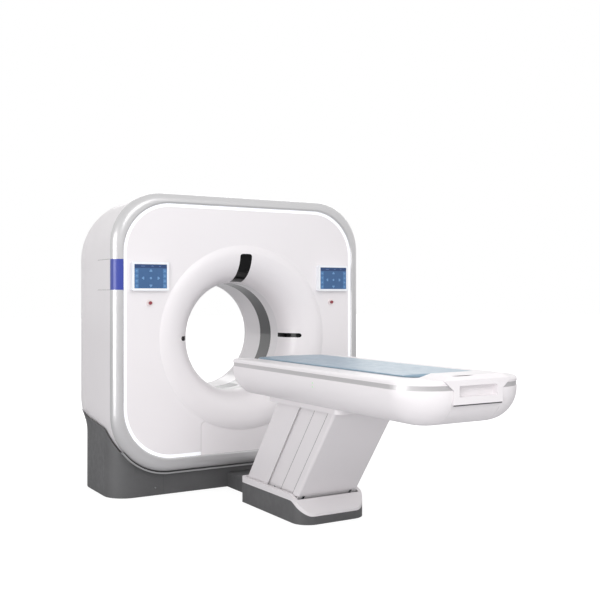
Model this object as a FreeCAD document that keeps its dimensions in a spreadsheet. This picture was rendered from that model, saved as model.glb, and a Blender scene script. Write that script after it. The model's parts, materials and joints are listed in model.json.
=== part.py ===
import FreeCAD, Part
import math
import os
from FreeCAD import Placement, Rotation, Vector

# CT scanner: gantry on its cradle base, and a patient table on a leaning parallelogram lift.
# Millimetres. The origin is on the floor, straight below the isocentre.
# +Z is up, +Y runs along the bore away from the table, +X is to the right seen from the table.

doc = FreeCAD.newDocument("ct_scanner")
sheet = doc.addObject("Spreadsheet::Sheet", "sizes")

SIZES = {
    # bore
    "iso_height": 980,
    "bore_radius": 360,
    "flare_radius": 550,
    "flare_depth": 200,
    "mouth_rise": 14,
    "mouth_foot_radius": 604,
    "rear_flare_radius": 520,
    "rear_flare_depth": 160,
    "liner_wall": 4,
    "window_front": 120,
    "window_rear": 34,
    # gantry housing
    "front_depth": 420,
    "rear_depth": 400,
    "ring_half_width": 826.5,
    "ring_below": 735.5,
    "ring_above": 841.5,
    "ring_top_radius": 298,
    "ring_low_radius": 320,
    "corner_share_top": 0.35,
    "corner_share_low": 0.7,
    "corner_share_rear": 1.6,
    "low_share": 0.3,
    "ring_strip": 20,
    "ring_thickness": 10,
    "cover_wall": 5,
    "shell_wall": 6,
    "bezel_width": 68,
    "bezel_proud": 12,
    "bezel_depth": 62,
    "bezel_roll": 55,
    "bezel_inner_roll": 12,
    "cover_seam": 3,
    "step_wall": 2,
    "side_cover_rear": 120,
    "rear_roll": 235,
    "band_bottom": 309,
    "band_top": 497,
    "groove_length": 230,
    "groove_width": 2,
    "groove_depth": 1.2,
    # access panel
    "panel_half_width": 318,
    "panel_arc_radius": 608,
    "panel_corner": 26,
    "panel_gap": 2.2,
    "panel_flange": 8,
    "panel_flange_wall": 3,
    # laser windows
    "laser_thickness": 3,
    "laser_top_width": 86,
    "laser_top_corner": 18,
    "laser_top_depth": 150,
    "laser_side_height": 29,
    "laser_side_reach": 446,
    # screens and stop buttons
    "screen_width": 213,
    "screen_height": 149,
    "screen_border": 14,
    "screen_depth": 32,
    "screen_corner": 9,
    "screen_glass": 2,
    "glass_corner": 2,
    "screen_across": 672.5,
    "screen_above": 392.5,
    "stop_across": 669,
    "stop_above": 228,
    "stop_collar_radius": 21,
    "stop_collar_height": 7,
    "stop_radius": 8,
    "stop_height": 12,
    "stop_travel": 4,
    "stop_head_lip": 2.5,
    "stop_roll": 2.5,
    "stop_shoulder": 1,
    "stop_clearance": 0.3,
    # stator, bearing and rotor
    "frame_thickness": 30,
    "frame_front": 215,
    "frame_inset": 60,
    "frame_hole": 480,
    "leg_across": 520,
    "leg_width": 200,
    "leg_depth": 90,
    "leg_top": 200,
    "mount_arm": 30,
    "mount_gap": 19,
    "mount_below": 330,
    "mount_above": 420,
    "drum_inner": 400,
    "drum_outer": 740,
    "drum_front": 110,
    "drum_thickness": 25,
    "bearing_inner_bore": 440,
    "bearing_inner_race": 465,
    "bearing_outer_race": 485,
    "bearing_outer_rim": 515,
    "bearing_ring_depth": 50,
    "bearing_ring_offset": 15,
    "roller_count": 24,
    "roller_length": 28,
    "roller_clearance": 0.05,
    "roller_inset": 4,
    "slip_outer": 425,
    "brush_half_width": 32,
    "brush_lead": 8,
    "tube_radius": 105,
    "tube_length": 210,
    "tube_up": 600,
    "tube_roll": 20,
    "focus_up": 570,
    "collimator_low_half": 80,
    "collimator_top_half": 55,
    "detector_radius": 1000,
    "detector_depth": 70,
    "detector_width": 160,
    "detector_half_angle": 27,
    "counterweight_inner": 655,
    "counterweight_outer": 735,
    "counterweight_half_angle": 22,
    "counterweight_front": 17,
    "module_width": 170,
    "module_height": 260,
    "module_depth": 180,
    "module_across": 560,
    "module_out": 602,
    "generator_extra": 20,
    "fin_count": 6,
    "fin_pitch": 40,
    "fin_gap": 12,
    "fin_depth": 14,
    "fin_start": 25,
    "belt_thickness": 4,
    "belt_width": 18,
    "belt_gap": 0.3,
    "pulley_radius": 60,
    "pulley_across": 672,
    "pulley_down": 552,
    "motor_radius": 78,
    "motor_length": 100,
    "motor_chamfer": 14,
    "shaft_radius": 15,
    "shaft_reach": 20,
    "shaft_bore_depth": 25,
    "shaft_clearance": 1,
    # gantry base and floor plate
    "base_inset": 11.5,
    "ear_overhang": 15.5,
    "base_front_inset": 51,
    "base_rear": 350,
    "base_foot_rear": 318,
    "base_front_corner": 145,
    "base_rear_corner": 250,
    "base_wall_height": 330,
    "base_flare_start": 360,
    "base_ear_height": 505,
    "horn_rear": 190,
    "horn_drop": 42,
    "horn_run": 100,
    "horn_bend": 120,
    "front_rise": 92,
    "front_run": 80,
    "front_bend": 90,
    "base_gap": 7,
    "base_wall": 8,
    "base_top_wall": 12,
    "lip_offset": 3,
    "lip_height": 7,
    "lip_depth": 34,
    "plate_thickness": 20,
    "anchor_inset": 155,
    "anchor_along": 200,
    "anchor_radius": 9,
    "gland_radius": 24,
    "gland_length": 38,
    "gland_bore": 13,
    "gland_up": 80,
    "gland_flange": 8,
    "gland_nut_radius": 20.5,
    # trunk and pedestal
    "trunk_half_width": 106,
    "trunk_height": 96,
    "trunk_roll": 14,
    "pedestal_half_width": 224.6,
    "pedestal_foot": 1502,
    "pedestal_rear": 786,
    "pedestal_foot_corner": 100,
    "pedestal_rear_corner": 30,
    "skirt_wall": 4,
    "skirt_height": 119,
    "skirt_foot_height": 44,
    "skirt_drop_start": 1400,
    "skirt_drop_end": 1497,
    "tongue_overlap": 14,
    "tongue_drop": 22,
    "pedestal_top": 155,
    "ramp_top": 132,
    "ramp_foot": 56,
    "ramp_bend": 60,
    "well_bend": 30,
    "well_run": 60,
    "seam": 1.5,
    "well_half_width": 203,
    "well_foot": 1428,
    "well_rear": 805,
    "foot_plate": 12,
    # lift
    "lean": 36.8,
    "lift_rise": 500,
    "lower_pivot": 150,
    "rear_pivot": 846,
    "aft_pivot": 1140,
    "fore_pivot": 1330,
    "front_pivot": 1390,
    "slat_wall": 3,
    "slat_step": 4.5,
    "column_half_width": 200,
    "slat_trim": 5,
    "rear_cover_back": 25,
    "rear_cover_reach": 181,
    "rear_cover_corner": 12,
    "aft_slat_back": 98,
    "aft_slat_reach": 90,
    "fore_slat_back": 90.5,
    "fore_slat_reach": 37,
    "foot_cover_back": 24,
    "foot_cover_reach": 25,
    "foot_cover_corner": 16,
    "arm_across": 118,
    "arm_thickness": 20,
    "rear_arm_reach": 35,
    "front_arm_reach": 30,
    "cover_space": 4,
    "bracket_across": 150,
    "bracket_thickness": 15,
    "bracket_edge": 18,
    "pin_radius": 12,
    "stub_radius": 8,
    "stub_reach": 8,
    "lug_gap": 3,
    "lug_thickness": 5,
    "lug_edge": 20,
    "pin_clearance": 0.05,
    "cross_tube_radius": 20,
    "cross_tube_bore": 15,
    "rear_tube_offset": -10,
    "front_tube_offset": 6,
    "gearbox_half_width": 95,
    "gearbox_foot": 1290,
    "gearbox_rear": 1150,
    "gearbox_height": 90,
    "gearbox_roll": 8,
    "lift_motor_radius": 36,
    "lift_motor_rear": 1105,
    "lift_motor_reach": 60,
    # table
    "table_half_width": 351.5,
    "table_foot": 2650,
    "table_head": 913,
    "table_foot_corner": 200,
    "table_head_corner": 30,
    "belly_low": 670,
    "belly_roll": 160,
    "foot_seam_depth": 1.2,
    "foot_seam_width": 2,
    "table_seam": 840,
    "table_wall": 5,
    "trim_height": 22,
    "trim_recess": 3,
    "trim_wall": 6,
    "deck_height": 22,
    "deck_roll": 14,
    "channel_half_width": 242,
    "channel_foot": 2458,
    "channel_corner": 30,
    "collar_half_width": 222,
    "collar_foot": 1852,
    "collar_rear": 1114,
    "collar_low": 646,
    "collar_corner": 40,
    "collar_wall": 12,
    "frame_plate_low": 742,
    "frame_plate": 12,
    "frame_head": 1002,
    "foot_post_start": 2280,
    "foot_post_end": 2080,
    "head_post_start": 1060,
    "head_post_end": 980,
    "post_inner": 200,
    "post_outer": 240,
    "stay_half_width": 20,
    "stay_length": 40,
    "rail_across": 90,
    "rail_width": 30,
    "rail_top": 838,
    "cap_half_width": 145,
    "cap_shoulder": 193,
    "cap_top": 906,
    "cap_low": 776,
    "cap_roll": 8,
    "cap_corner": 20,
    "cap_slope": 38,
    "cap_inset": 4,
    "cap_body": 60,
    "cap_rear": 2466,
    "cap_rear_half_width": 205,
    "cap_gap": 1,
    "recess_half_width": 112,
    "recess_low": 809,
    "recess_height": 50,
    "recess_corner": 6,
    "recess_depth": 28,
    "cradle_half_width": 236,
    "cradle_head": 890,
    "cradle_nose": 130,
    "cradle_nose_width": 120,
    "cradle_bend": 60,
    "cradle_nose_corner": 30,
    "cradle_foot_corner": 20,
    "cradle_roll": 10,
    "cradle_low": 852,
    "cradle_top": 884,
    "cradle_dish": 12,
    "slide_gap": 0.3,
    "runner_length": 210,
    "pad_inset": 10,
    "pad_thickness": 8,
    "pad_head_inset": 95,
    "pad_crown": 9,
    "cradle_gap": 3,
}

row = 1
for size_name, size_value in SIZES.items():
    sheet.set("A%d" % row, size_name)
    sheet.set("B%d" % row, str(size_value))
    sheet.setAlias("B%d" % row, size_name)
    row += 1
doc.recompute()


class Sizes:
    """The sheet's values as numbers."""


dim = Sizes()
for size_name in SIZES:
    setattr(dim, size_name, float(sheet.get(size_name)))

NODES = []
ACROSS = Vector(1, 0, 0)
ALONG = Vector(0, 1, 0)
UPWARD = Vector(0, 0, 1)
UPRIGHT = Rotation(ACROSS, 90)
BIG = 4000.0

iso = Vector(0, 0, dim.iso_height)
front_y = -dim.front_depth
mouth_y = front_y - dim.mouth_rise
mouth_depth = dim.flare_depth + dim.mouth_rise
lean_angle = math.radians(dim.lean)
link_length = dim.lift_rise / math.cos(lean_angle)
lean_shift = dim.lift_rise * math.tan(lean_angle)
upper_pivot = dim.lower_pivot + dim.lift_rise
strip = dim.ring_strip / 2
bezel_outer = strip + dim.bezel_width
ring_low = dim.iso_height - dim.ring_below
ring_high = dim.iso_height + dim.ring_above
band_low = dim.iso_height + dim.band_bottom
band_high = dim.iso_height + dim.band_top
housing_half = dim.ring_half_width + bezel_outer
base_half = housing_half - dim.base_inset
ear_half = housing_half + dim.ear_overhang


# ---------------------------------------------------------------- helpers

def keep(item, label):
    """Gives a finished sub-part its name and lists it for export."""
    item.Label = label
    NODES.append(item)
    return item


def feature(label, shape):
    """A sub-part whose shape comes from a function below."""
    item = doc.addObject("Part::Feature", label)
    item.Shape = shape.removeSplitter()
    return keep(item, label)


def rounded_wire(corners, place):
    """A closed wire from (a, b, radius) corners; place(a, b) gives the point in space."""
    count = len(corners)
    starts = []
    ends = []
    middles = []
    for index in range(count):
        a, b, radius = corners[index]
        before = corners[index - 1]
        after = corners[(index + 1) % count]
        to_before = Vector(before[0] - a, before[1] - b, 0).normalize()
        to_after = Vector(after[0] - a, after[1] - b, 0).normalize()
        half = to_before.getAngle(to_after) / 2
        corner = Vector(a, b, 0)
        if radius <= 0 or abs(half - math.pi / 2) < 1e-6:
            starts.append(corner)
            ends.append(corner)
            middles.append(None)
            continue
        reach = radius / math.tan(half)
        inward = (to_before + to_after).normalize()
        starts.append(corner + to_before * reach)
        ends.append(corner + to_after * reach)
        middles.append(corner + inward * (radius / math.sin(half) - radius))
    edges = []
    for index in range(count):
        if middles[index] is not None:
            points = [starts[index], middles[index], ends[index]]
            spots = [place(point.x, point.y) for point in points]
            edges.append(Part.Arc(*spots).toShape())
        following = (index + 1) % count
        line_start = ends[index]
        line_end = starts[following]
        if (line_end - line_start).Length > 1e-6:
            edges.append(Part.LineSegment(place(line_start.x, line_start.y),
                                          place(line_end.x, line_end.y)).toShape())
    return Part.Wire(edges)


def prism_y(corners, y_start, y_end):
    """An outline in X and Z, drawn from y_start to y_end."""
    wire = rounded_wire(corners, lambda a, b: Vector(a, y_start, b))
    return Part.Face(wire).extrude(Vector(0, y_end - y_start, 0))


def prism_z(corners, z_start, z_end):
    """An outline in X and Y, drawn from z_start to z_end."""
    wire = rounded_wire(corners, lambda a, b: Vector(a, b, z_start))
    return Part.Face(wire).extrude(Vector(0, 0, z_end - z_start))


def prism_x(corners, x_start, x_end):
    """An outline in Y and Z, drawn from x_start to x_end."""
    wire = rounded_wire(corners, lambda a, b: Vector(x_start, a, b))
    return Part.Face(wire).extrude(Vector(x_end - x_start, 0, 0))


def block(x_low, x_high, y_low, y_high, z_low, z_high):
    """A plain box between two corners."""
    return Part.makeBox(x_high - x_low, y_high - y_low, z_high - z_low, Vector(x_low, y_low, z_low))


def tube_y(outer, inner, y_start, y_end, centre=iso):
    """A ring about an axis along Y."""
    at = Vector(centre.x, y_start, centre.z)
    solid = Part.makeCylinder(outer, y_end - y_start, at, ALONG)
    if inner > 0:
        solid = solid.cut(Part.makeCylinder(inner, y_end - y_start, at, ALONG))
    return solid


def rod_x(radius, x_start, x_end, y, z):
    """A round bar along X."""
    return Part.makeCylinder(radius, x_end - x_start, Vector(x_start, y, z), ACROSS)


def mirrored(shape):
    """The same shape on the other side of the middle plane."""
    return shape.mirror(Vector(0, 0, 0), ACROSS)


def edges_at(shape, test):
    """The edges of a shape whose middle point passes a test."""
    found = []
    for edge in shape.Edges:
        if edge.Length < 1e-6:
            continue
        middle = edge.valueAt((edge.FirstParameter + edge.LastParameter) / 2)
        if test(middle, edge):
            found.append(edge)
    return found


def corner_radius(radius, grow, share):
    """A corner's radius in a grown outline: past the light strip it grows only by a share."""
    beyond = max(grow - strip, 0)
    return radius + grow - beyond * (1 - share)


def outline_low(grow):
    """The lowest level of a grown outline: past the light strip the margin is deeper below."""
    return ring_low - grow - max(grow - strip, 0) * dim.low_share


def outline(grow, rear=False):
    """The gantry's outline as corners in X and Z, grown from the light ring's line; softer at the rear."""
    half = dim.ring_half_width + grow
    low = outline_low(grow)
    high = ring_high + grow
    top_share = dim.corner_share_rear if rear else dim.corner_share_top
    low_share = dim.corner_share_rear if rear else dim.corner_share_low
    top = corner_radius(dim.ring_top_radius, grow, top_share)
    bottom = corner_radius(dim.ring_low_radius, grow, low_share)
    return [(-half, low, bottom), (half, low, bottom), (half, high, top), (-half, high, top)]


def blended(grow, y_start, y_end):
    """The side cover's form: from the front outline to the softer rear one."""
    front_wire = rounded_wire(outline(grow), lambda a, b: Vector(a, y_start, b))
    rear_wire = rounded_wire(outline(grow, True), lambda a, b: Vector(a, y_end, b))
    return Part.makeLoft([front_wire, rear_wire], True, True)


def flare_profile(mouth, depth, wall_front, wall_back, y_mouth, facing):
    """Half section of a flared mouth: two quarter ellipses a wall apart, facing -1 front or 1 rear."""
    centre = Vector(mouth, y_mouth - facing * depth, dim.iso_height)

    def quarter(inset):
        half_depth = depth - inset
        half_width = mouth - dim.bore_radius - inset
        mouth_point = centre + Vector(0, facing * half_depth, 0)
        throat_point = centre + Vector(-half_width, 0, 0)
        slant = math.sqrt(0.5)
        middle = centre + Vector(-half_width * slant, facing * half_depth * slant, 0)
        if half_depth >= half_width:
            curve = Part.Ellipse(mouth_point, throat_point, centre)
        else:
            curve = Part.Ellipse(throat_point, mouth_point, centre)
        start = curve.parameter(mouth_point)
        end = curve.parameter(throat_point)
        arc = Part.ArcOfEllipse(curve, min(start, end), max(start, end))
        if (arc.value((arc.FirstParameter + arc.LastParameter) / 2) - middle).Length > half_width:
            arc = Part.ArcOfEllipse(curve, max(start, end), min(start, end) + 2 * math.pi)
        return arc.toShape(), mouth_point, throat_point

    outer, outer_mouth, outer_throat = quarter(wall_front)
    inner, inner_mouth, inner_throat = quarter(wall_back)
    wire = Part.Wire(Part.__sortEdges__([
        outer,
        Part.LineSegment(outer_throat, inner_throat).toShape(),
        inner,
        Part.LineSegment(inner_mouth, outer_mouth).toShape()]))
    return Part.Face(wire)


def flare(mouth, depth, wall_front, wall_back, y_mouth, facing):
    """The flared mouth turned about the bore's axis."""
    return flare_profile(mouth, depth, wall_front, wall_back, y_mouth, facing).revolve(iso, ALONG, 360)


# ---------------------------------------------------------------- bound primitives

def sized_ring(label, outer, inner, length, y_text, centre=("0", "sizes.iso_height")):
    """A ring about an axis along Y whose sizes are bound to the sheet."""
    parts = []
    for radius in (outer, inner):
        round_bar = doc.addObject("Part::Cylinder", label + "_bar")
        round_bar.setExpression("Radius", radius)
        round_bar.setExpression("Height", length)
        round_bar.Placement = Placement(Vector(0, 0, 0), Rotation(ACROSS, -90))
        round_bar.setExpression("Placement.Base.x", centre[0])
        round_bar.setExpression("Placement.Base.y", y_text)
        round_bar.setExpression("Placement.Base.z", centre[1])
        parts.append(round_bar)
    ring = doc.addObject("Part::Cut", label)
    ring.Base, ring.Tool = parts
    return keep(ring, label)


def sized_box(label, lengths, corner):
    """A box whose lengths and low corner are bound to the sheet."""
    solid = doc.addObject("Part::Box", label)
    for side, text in zip(("Length", "Width", "Height"), lengths):
        solid.setExpression(side, text)
    for axis, text in zip("xyz", corner):
        solid.setExpression("Placement.Base." + axis, text)
    return keep(solid, label)


def origin_plane(body, role):
    """One of a body's own origin planes."""
    for plane in body.Origin.OriginFeatures:
        if plane.Role == role:
            return plane
    raise ValueError(role)


def rectangle_sketch(body, name, width, height, corner):
    """A rectangle sketch with rounded corners, centred on the body's own origin."""
    sketch = body.newObject("Sketcher::SketchObject", name)
    sketch.AttachmentSupport = [(origin_plane(body, "XY_Plane"), "")]
    sketch.MapMode = "FlatFace"
    half_width = width / 2
    half_height = height / 2
    corners = [(-half_width, -half_height, corner), (half_width, -half_height, corner),
               (half_width, half_height, corner), (-half_width, half_height, corner)]
    wire = rounded_wire(corners, lambda a, b: Vector(a, b, 0))
    for edge in wire.Edges:
        curve = edge.Curve
        if isinstance(curve, Part.Circle):
            middle = edge.valueAt((edge.FirstParameter + edge.LastParameter) / 2)
            sketch.addGeometry(Part.Arc(edge.Vertexes[0].Point, middle, edge.Vertexes[-1].Point))
        else:
            sketch.addGeometry(Part.LineSegment(edge.Vertexes[0].Point, edge.Vertexes[-1].Point))
    return sketch


# ---------------------------------------------------------------- gantry housing

def panel_shape(grow, y_start, y_end):
    """The access panel's outline: a box whose top follows the bore, with rolled shoulders."""
    low = ring_low - strip - grow
    half = dim.panel_half_width + grow
    arc = dim.panel_arc_radius - grow
    shape = block(-half, half, y_start, y_end, low, dim.iso_height - dim.bore_radius)
    shape = shape.cut(Part.makeCylinder(arc, BIG, Vector(0, -BIG / 2, dim.iso_height), ALONG))
    middle = (y_start + y_end) / 2
    shoulders = edges_at(shape, lambda spot, edge: abs(abs(spot.x) - half) < 0.01
                         and spot.z > ring_low + dim.ring_strip and abs(spot.y - middle) < 0.01)
    return shape.makeFillet(dim.panel_corner, shoulders)


def laser_band():
    """The layer of the front flare that the laser windows are let into."""
    return flare(dim.flare_radius, mouth_depth, 0, dim.laser_thickness, mouth_y, -1)


def top_laser_shape(band):
    half = dim.laser_top_width / 2
    top = dim.iso_height + dim.flare_radius - dim.laser_thickness
    corner = dim.laser_top_corner
    low = dim.iso_height + dim.bore_radius / 2
    column = prism_y([(-half, low, 0), (half, low, 0), (half, top, corner), (-half, top, corner)],
                     mouth_y - 1, front_y + dim.laser_top_depth)
    return band.common(column)


def right_laser_shape(band):
    half = dim.laser_side_height / 2
    low = dim.iso_height - half
    high = dim.iso_height + half
    start = dim.bore_radius / 2
    end = dim.laser_side_reach
    slot = prism_y([(start, low, 0), (end, low, half - 0.01), (end, high, half - 0.01), (start, high, 0)],
                   mouth_y - 1, front_y + dim.flare_depth)
    return band.common(slot)


def mouth_swell():
    """The raised rim round the mouth: an arc from the flat of the cover to the flare's edge."""
    run = dim.mouth_foot_radius - dim.flare_radius
    rise = dim.mouth_rise
    radius = (run ** 2 + rise ** 2) / (2 * rise)
    half_angle = math.asin(run / radius) / 2

    def rim(back):
        crest = Vector(dim.flare_radius, mouth_y + back, dim.iso_height)
        middle = crest + Vector(radius * math.sin(half_angle), radius * (1 - math.cos(half_angle)), 0)
        foot = Vector(dim.mouth_foot_radius, front_y + back, dim.iso_height)
        return Part.Arc(crest, middle, foot).toShape(), crest, foot

    face, crest, foot = rim(0)
    back, back_crest, back_foot = rim(dim.cover_wall)
    wire = Part.Wire(Part.__sortEdges__([
        face, Part.LineSegment(foot, back_foot).toShape(),
        back, Part.LineSegment(back_crest, crest).toShape()]))
    return Part.Face(wire).revolve(iso, ALONG, 360)


def front_cover_shape():
    back = front_y + dim.cover_wall
    plate = prism_y(outline(-strip), front_y, back)
    plate = plate.cut(tube_y(dim.mouth_foot_radius, 0, front_y - 1, back + 1))
    return plate.cut(panel_shape(dim.panel_gap, front_y - 1, back + 1))


def front_funnel_shape(windows):
    """The mouth's raised rim and flare in one moulding, with recesses for the laser windows."""
    shape = mouth_swell().fuse(flare(dim.flare_radius, mouth_depth, 0, dim.cover_wall, mouth_y, -1))
    for window in windows:
        shape = shape.cut(window)
    return shape


def access_panel_shape():
    face = panel_shape(0, front_y, front_y + dim.cover_wall)
    back = front_y + dim.cover_wall
    flange_back = back + dim.panel_flange_wall
    flange = panel_shape(dim.panel_flange, back, flange_back)
    flange = flange.common(block(-BIG, BIG, back, flange_back, ring_low + strip, BIG))
    return face.fuse(flange)


def light_ring_shape():
    outer = prism_y(outline(strip), front_y, front_y + dim.ring_thickness)
    shape = outer.cut(prism_y(outline(-strip), front_y - 1, front_y + dim.ring_thickness + 1))
    half = dim.panel_half_width + dim.panel_gap
    return shape.cut(block(-half, half, front_y - 1, 0, 0, dim.iso_height))


def bezel_ring():
    """The rolled ring round the front edge, before the coloured band is let in."""
    start = front_y - dim.bezel_proud
    end = start + dim.bezel_depth
    outer = prism_y(outline(bezel_outer), start, end)
    rim = edges_at(outer, lambda spot, edge: abs(spot.y - start) < 0.01)
    outer = outer.makeFillet(dim.bezel_roll, rim)
    hole = prism_y(outline(strip), start - 1, end + 10)
    ring = outer.cut(hole)
    inner_rim = edges_at(ring, lambda spot, edge: abs(spot.y - start) < 0.01
                         and ring_offset(spot) < strip + 0.5)
    ring = ring.makeFillet(dim.bezel_inner_roll, inner_rim)
    step = prism_y(outline(bezel_outer - 4), end, end + dim.cover_seam)
    return ring.fuse(step.cut(hole))


def ring_offset(spot):
    """How far a point lies outside the light ring's line, roughly, for picking edges."""
    sideways = abs(spot.x) - dim.ring_half_width
    above = spot.z - ring_high
    below = ring_low - spot.z
    for upright, radius in ((above, dim.ring_top_radius), (below, dim.ring_low_radius)):
        if sideways > -radius and upright > -radius:
            return math.hypot(sideways + radius, upright + radius) - radius
    return max(sideways, above, below)


def rolled_rear(roll, y_start, y_rear, offset):
    """The housing's rear form between two depths, rolled at the rear edge."""
    shape = prism_y(outline(offset, True), y_start, y_rear)
    rim = edges_at(shape, lambda spot, edge: abs(spot.y - y_rear) < 0.01)
    return shape.makeFillet(roll, rim)


def housing_room(gap):
    """The whole housing grown by a gap, and run on to the front, for cutting its base."""
    grown = bezel_outer + gap
    start = side_cover_start()
    seam = dim.side_cover_rear
    shape = prism_y(outline(grown), -BIG, start)
    shape = shape.fuse(blended(grown, start, seam))
    return shape.fuse(rolled_rear(dim.rear_roll + gap, seam, dim.rear_depth + gap, grown))


def side_cover_start():
    return front_y - dim.bezel_proud + dim.bezel_depth + dim.cover_seam


def leg_boxes(gap):
    """The room that the stator frame's two legs take, grown by a gap."""
    low = dim.leg_across - dim.leg_width / 2 - gap
    high = dim.leg_across + dim.leg_width / 2 + gap
    rear = dim.frame_front + dim.frame_thickness
    leg = block(low, high, rear - dim.leg_depth - gap, rear + gap, 0,
                ring_low + dim.leg_top)
    return leg.fuse(mirrored(leg))


def side_cover_shape():
    start = side_cover_start()
    end = dim.side_cover_rear
    inner = bezel_outer - dim.shell_wall
    shape = blended(bezel_outer, start, end).cut(blended(inner, start, end))
    step = prism_y(outline(inner + dim.step_wall, True), end, end + dim.cover_seam)
    step = step.cut(prism_y(outline(inner, True), end - 1, end + dim.cover_seam + 1))
    shape = shape.fuse(step)
    for height in (band_low, band_high):
        groove = block(-housing_half - 1, dim.groove_depth - housing_half, start, start + dim.groove_length,
                       height - dim.groove_width / 2, height + dim.groove_width / 2)
        shape = shape.cut(groove)
    return shape


def rear_cover_shape():
    start = dim.side_cover_rear + dim.cover_seam
    wall = dim.shell_wall
    outer = rolled_rear(dim.rear_roll, start, dim.rear_depth, bezel_outer)
    inner = rolled_rear(dim.rear_roll - wall, start - 1, dim.rear_depth - wall, bezel_outer - wall)
    shape = outer.cut(inner)
    shape = shape.cut(tube_y(dim.rear_flare_radius, 0, 0, dim.rear_depth + 1))
    return shape.cut(leg_boxes(dim.cover_seam))


def rear_funnel_shape():
    return flare(dim.rear_flare_radius, dim.rear_flare_depth, 0, dim.shell_wall, dim.rear_depth, 1)


def make_housing():
    band = laser_band()
    top = top_laser_shape(band)
    right = right_laser_shape(band)
    left = mirrored(right)
    feature("front_cover", front_cover_shape())
    feature("front_funnel", front_funnel_shape([top, right, left]))
    feature("top_laser_window", top)
    feature("side_laser_windows", Part.makeCompound([left, right]))
    feature("access_panel", access_panel_shape())
    feature("light_ring", light_ring_shape())
    ring = bezel_ring()
    band_room = block(-BIG, 0, -BIG, BIG, band_low, band_high)
    feature("bezel", ring.cut(band_room))
    feature("side_band", ring.common(band_room))
    feature("side_cover", side_cover_shape())
    feature("rear_cover", rear_cover_shape())
    feature("rear_funnel", rear_funnel_shape())
    inner = "sizes.bore_radius"
    outer = "sizes.bore_radius + sizes.liner_wall"
    sized_ring("front_liner", outer, inner,
               "sizes.front_depth - sizes.flare_depth - sizes.window_front",
               "sizes.flare_depth - sizes.front_depth")
    sized_ring("xray_window", outer, inner, "sizes.window_front + sizes.window_rear",
               "-sizes.window_front")
    sized_ring("rear_liner", outer, inner,
               "sizes.rear_depth - sizes.rear_flare_depth - sizes.window_rear", "sizes.window_rear")


# ---------------------------------------------------------------- screens and stop buttons

def make_screen(side, sign):
    """A screen housing with a pocket, and the glass that fills it."""
    border = 2 * dim.screen_border
    body = doc.addObject("PartDesign::Body", side + "_screen_housing")
    case = rectangle_sketch(body, side + "_case", dim.screen_width + border,
                            dim.screen_height + border, dim.screen_corner)
    pad = body.newObject("PartDesign::Pad", side + "_case_pad")
    pad.Profile = case
    pad.setExpression("Length", "sizes.screen_depth")
    opening = rectangle_sketch(body, side + "_glass_opening", dim.screen_width,
                               dim.screen_height, dim.glass_corner)
    opening.AttachmentOffset = Placement(Vector(0, 0, dim.screen_depth), Rotation())
    pocket = body.newObject("PartDesign::Pocket", side + "_glass_pocket")
    pocket.Profile = opening
    pocket.setExpression("Length", "sizes.screen_glass")
    middle = Vector(sign * dim.screen_across, front_y, dim.iso_height + dim.screen_above)
    body.Placement = Placement(middle, UPRIGHT)
    keep(body, side + "_screen_housing")
    glass_body = doc.addObject("PartDesign::Body", side + "_screen_glass")
    glass = rectangle_sketch(glass_body, side + "_glass", dim.screen_width, dim.screen_height,
                            dim.glass_corner)
    sheet_pad = glass_body.newObject("PartDesign::Pad", side + "_glass_pad")
    sheet_pad.Profile = glass
    sheet_pad.setExpression("Length", "sizes.screen_glass")
    lifted = Vector(0, dim.screen_glass - dim.screen_depth, 0)
    glass_body.Placement = Placement(middle + lifted, UPRIGHT)
    keep(glass_body, side + "_screen_glass")


def make_stop_collars():
    """A collar on the front cover for each stop button."""
    face = front_y - dim.stop_collar_height
    centre = Vector(dim.stop_across, 0, dim.iso_height + dim.stop_above)
    collar = tube_y(dim.stop_collar_radius, dim.stop_radius, face, front_y, centre)
    feature("stop_collars", Part.makeCompound([mirrored(collar), collar]))


def make_stop_button(side, sign):
    """The red button that slides in its collar."""
    centre = Vector(sign * dim.stop_across, 0, dim.iso_height + dim.stop_above)
    face = front_y - dim.stop_collar_height
    head_back = face - dim.stop_travel - dim.stop_shoulder
    head_front = head_back - dim.stop_height + dim.stop_head_lip
    plunger_back = front_y - dim.stop_travel - dim.stop_shoulder
    plunger = tube_y(dim.stop_radius - dim.stop_clearance, 0, head_back, plunger_back, centre)
    head = tube_y(dim.stop_radius + dim.stop_head_lip, 0, head_front, head_back, centre)
    rim = edges_at(head, lambda spot, edge: abs(spot.y - head_front) < 0.01)
    feature(side + "_stop_button", head.makeFillet(dim.stop_roll, rim).fuse(plunger))


# ---------------------------------------------------------------- stator, bearing and rotor

def cover_mount(height):
    """One arm of the frame that carries the covers, on the right side."""
    plate_edge = dim.ring_half_width - dim.frame_inset
    wall = housing_half - dim.shell_wall
    rear = dim.frame_front + dim.frame_thickness
    seat = dim.side_cover_rear
    arm = dim.mount_arm
    outer = wall - dim.mount_gap
    low = height - arm
    high = height + arm
    shape = block(plate_edge - arm, outer, dim.frame_front, rear, low, high)
    shape = shape.fuse(block(outer - arm, outer, seat - arm, rear, low, high))
    return shape.fuse(block(outer - arm, wall, seat - arm, seat - dim.cover_seam, low, high))


def stator_frame_shape():
    rear = dim.frame_front + dim.frame_thickness
    shape = prism_y(outline(-dim.frame_inset), dim.frame_front, rear)
    shape = shape.cut(tube_y(dim.frame_hole, 0, dim.frame_front - 1, rear + 1))
    legs = leg_boxes(0).common(block(-BIG, BIG, -BIG, BIG, dim.plate_thickness, BIG))
    shape = shape.fuse(legs)
    for height in (dim.iso_height - dim.mount_below, dim.iso_height + dim.mount_above):
        arm = cover_mount(height)
        shape = shape.fuse(arm).fuse(mirrored(arm))
    hole = motor_centre()
    return shape.cut(tube_y(dim.shaft_radius + dim.shaft_clearance, 0, dim.frame_front - 1, rear + 1, hole))


def motor_centre():
    return Vector(dim.pulley_across, 0, dim.iso_height - dim.pulley_down)


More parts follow.
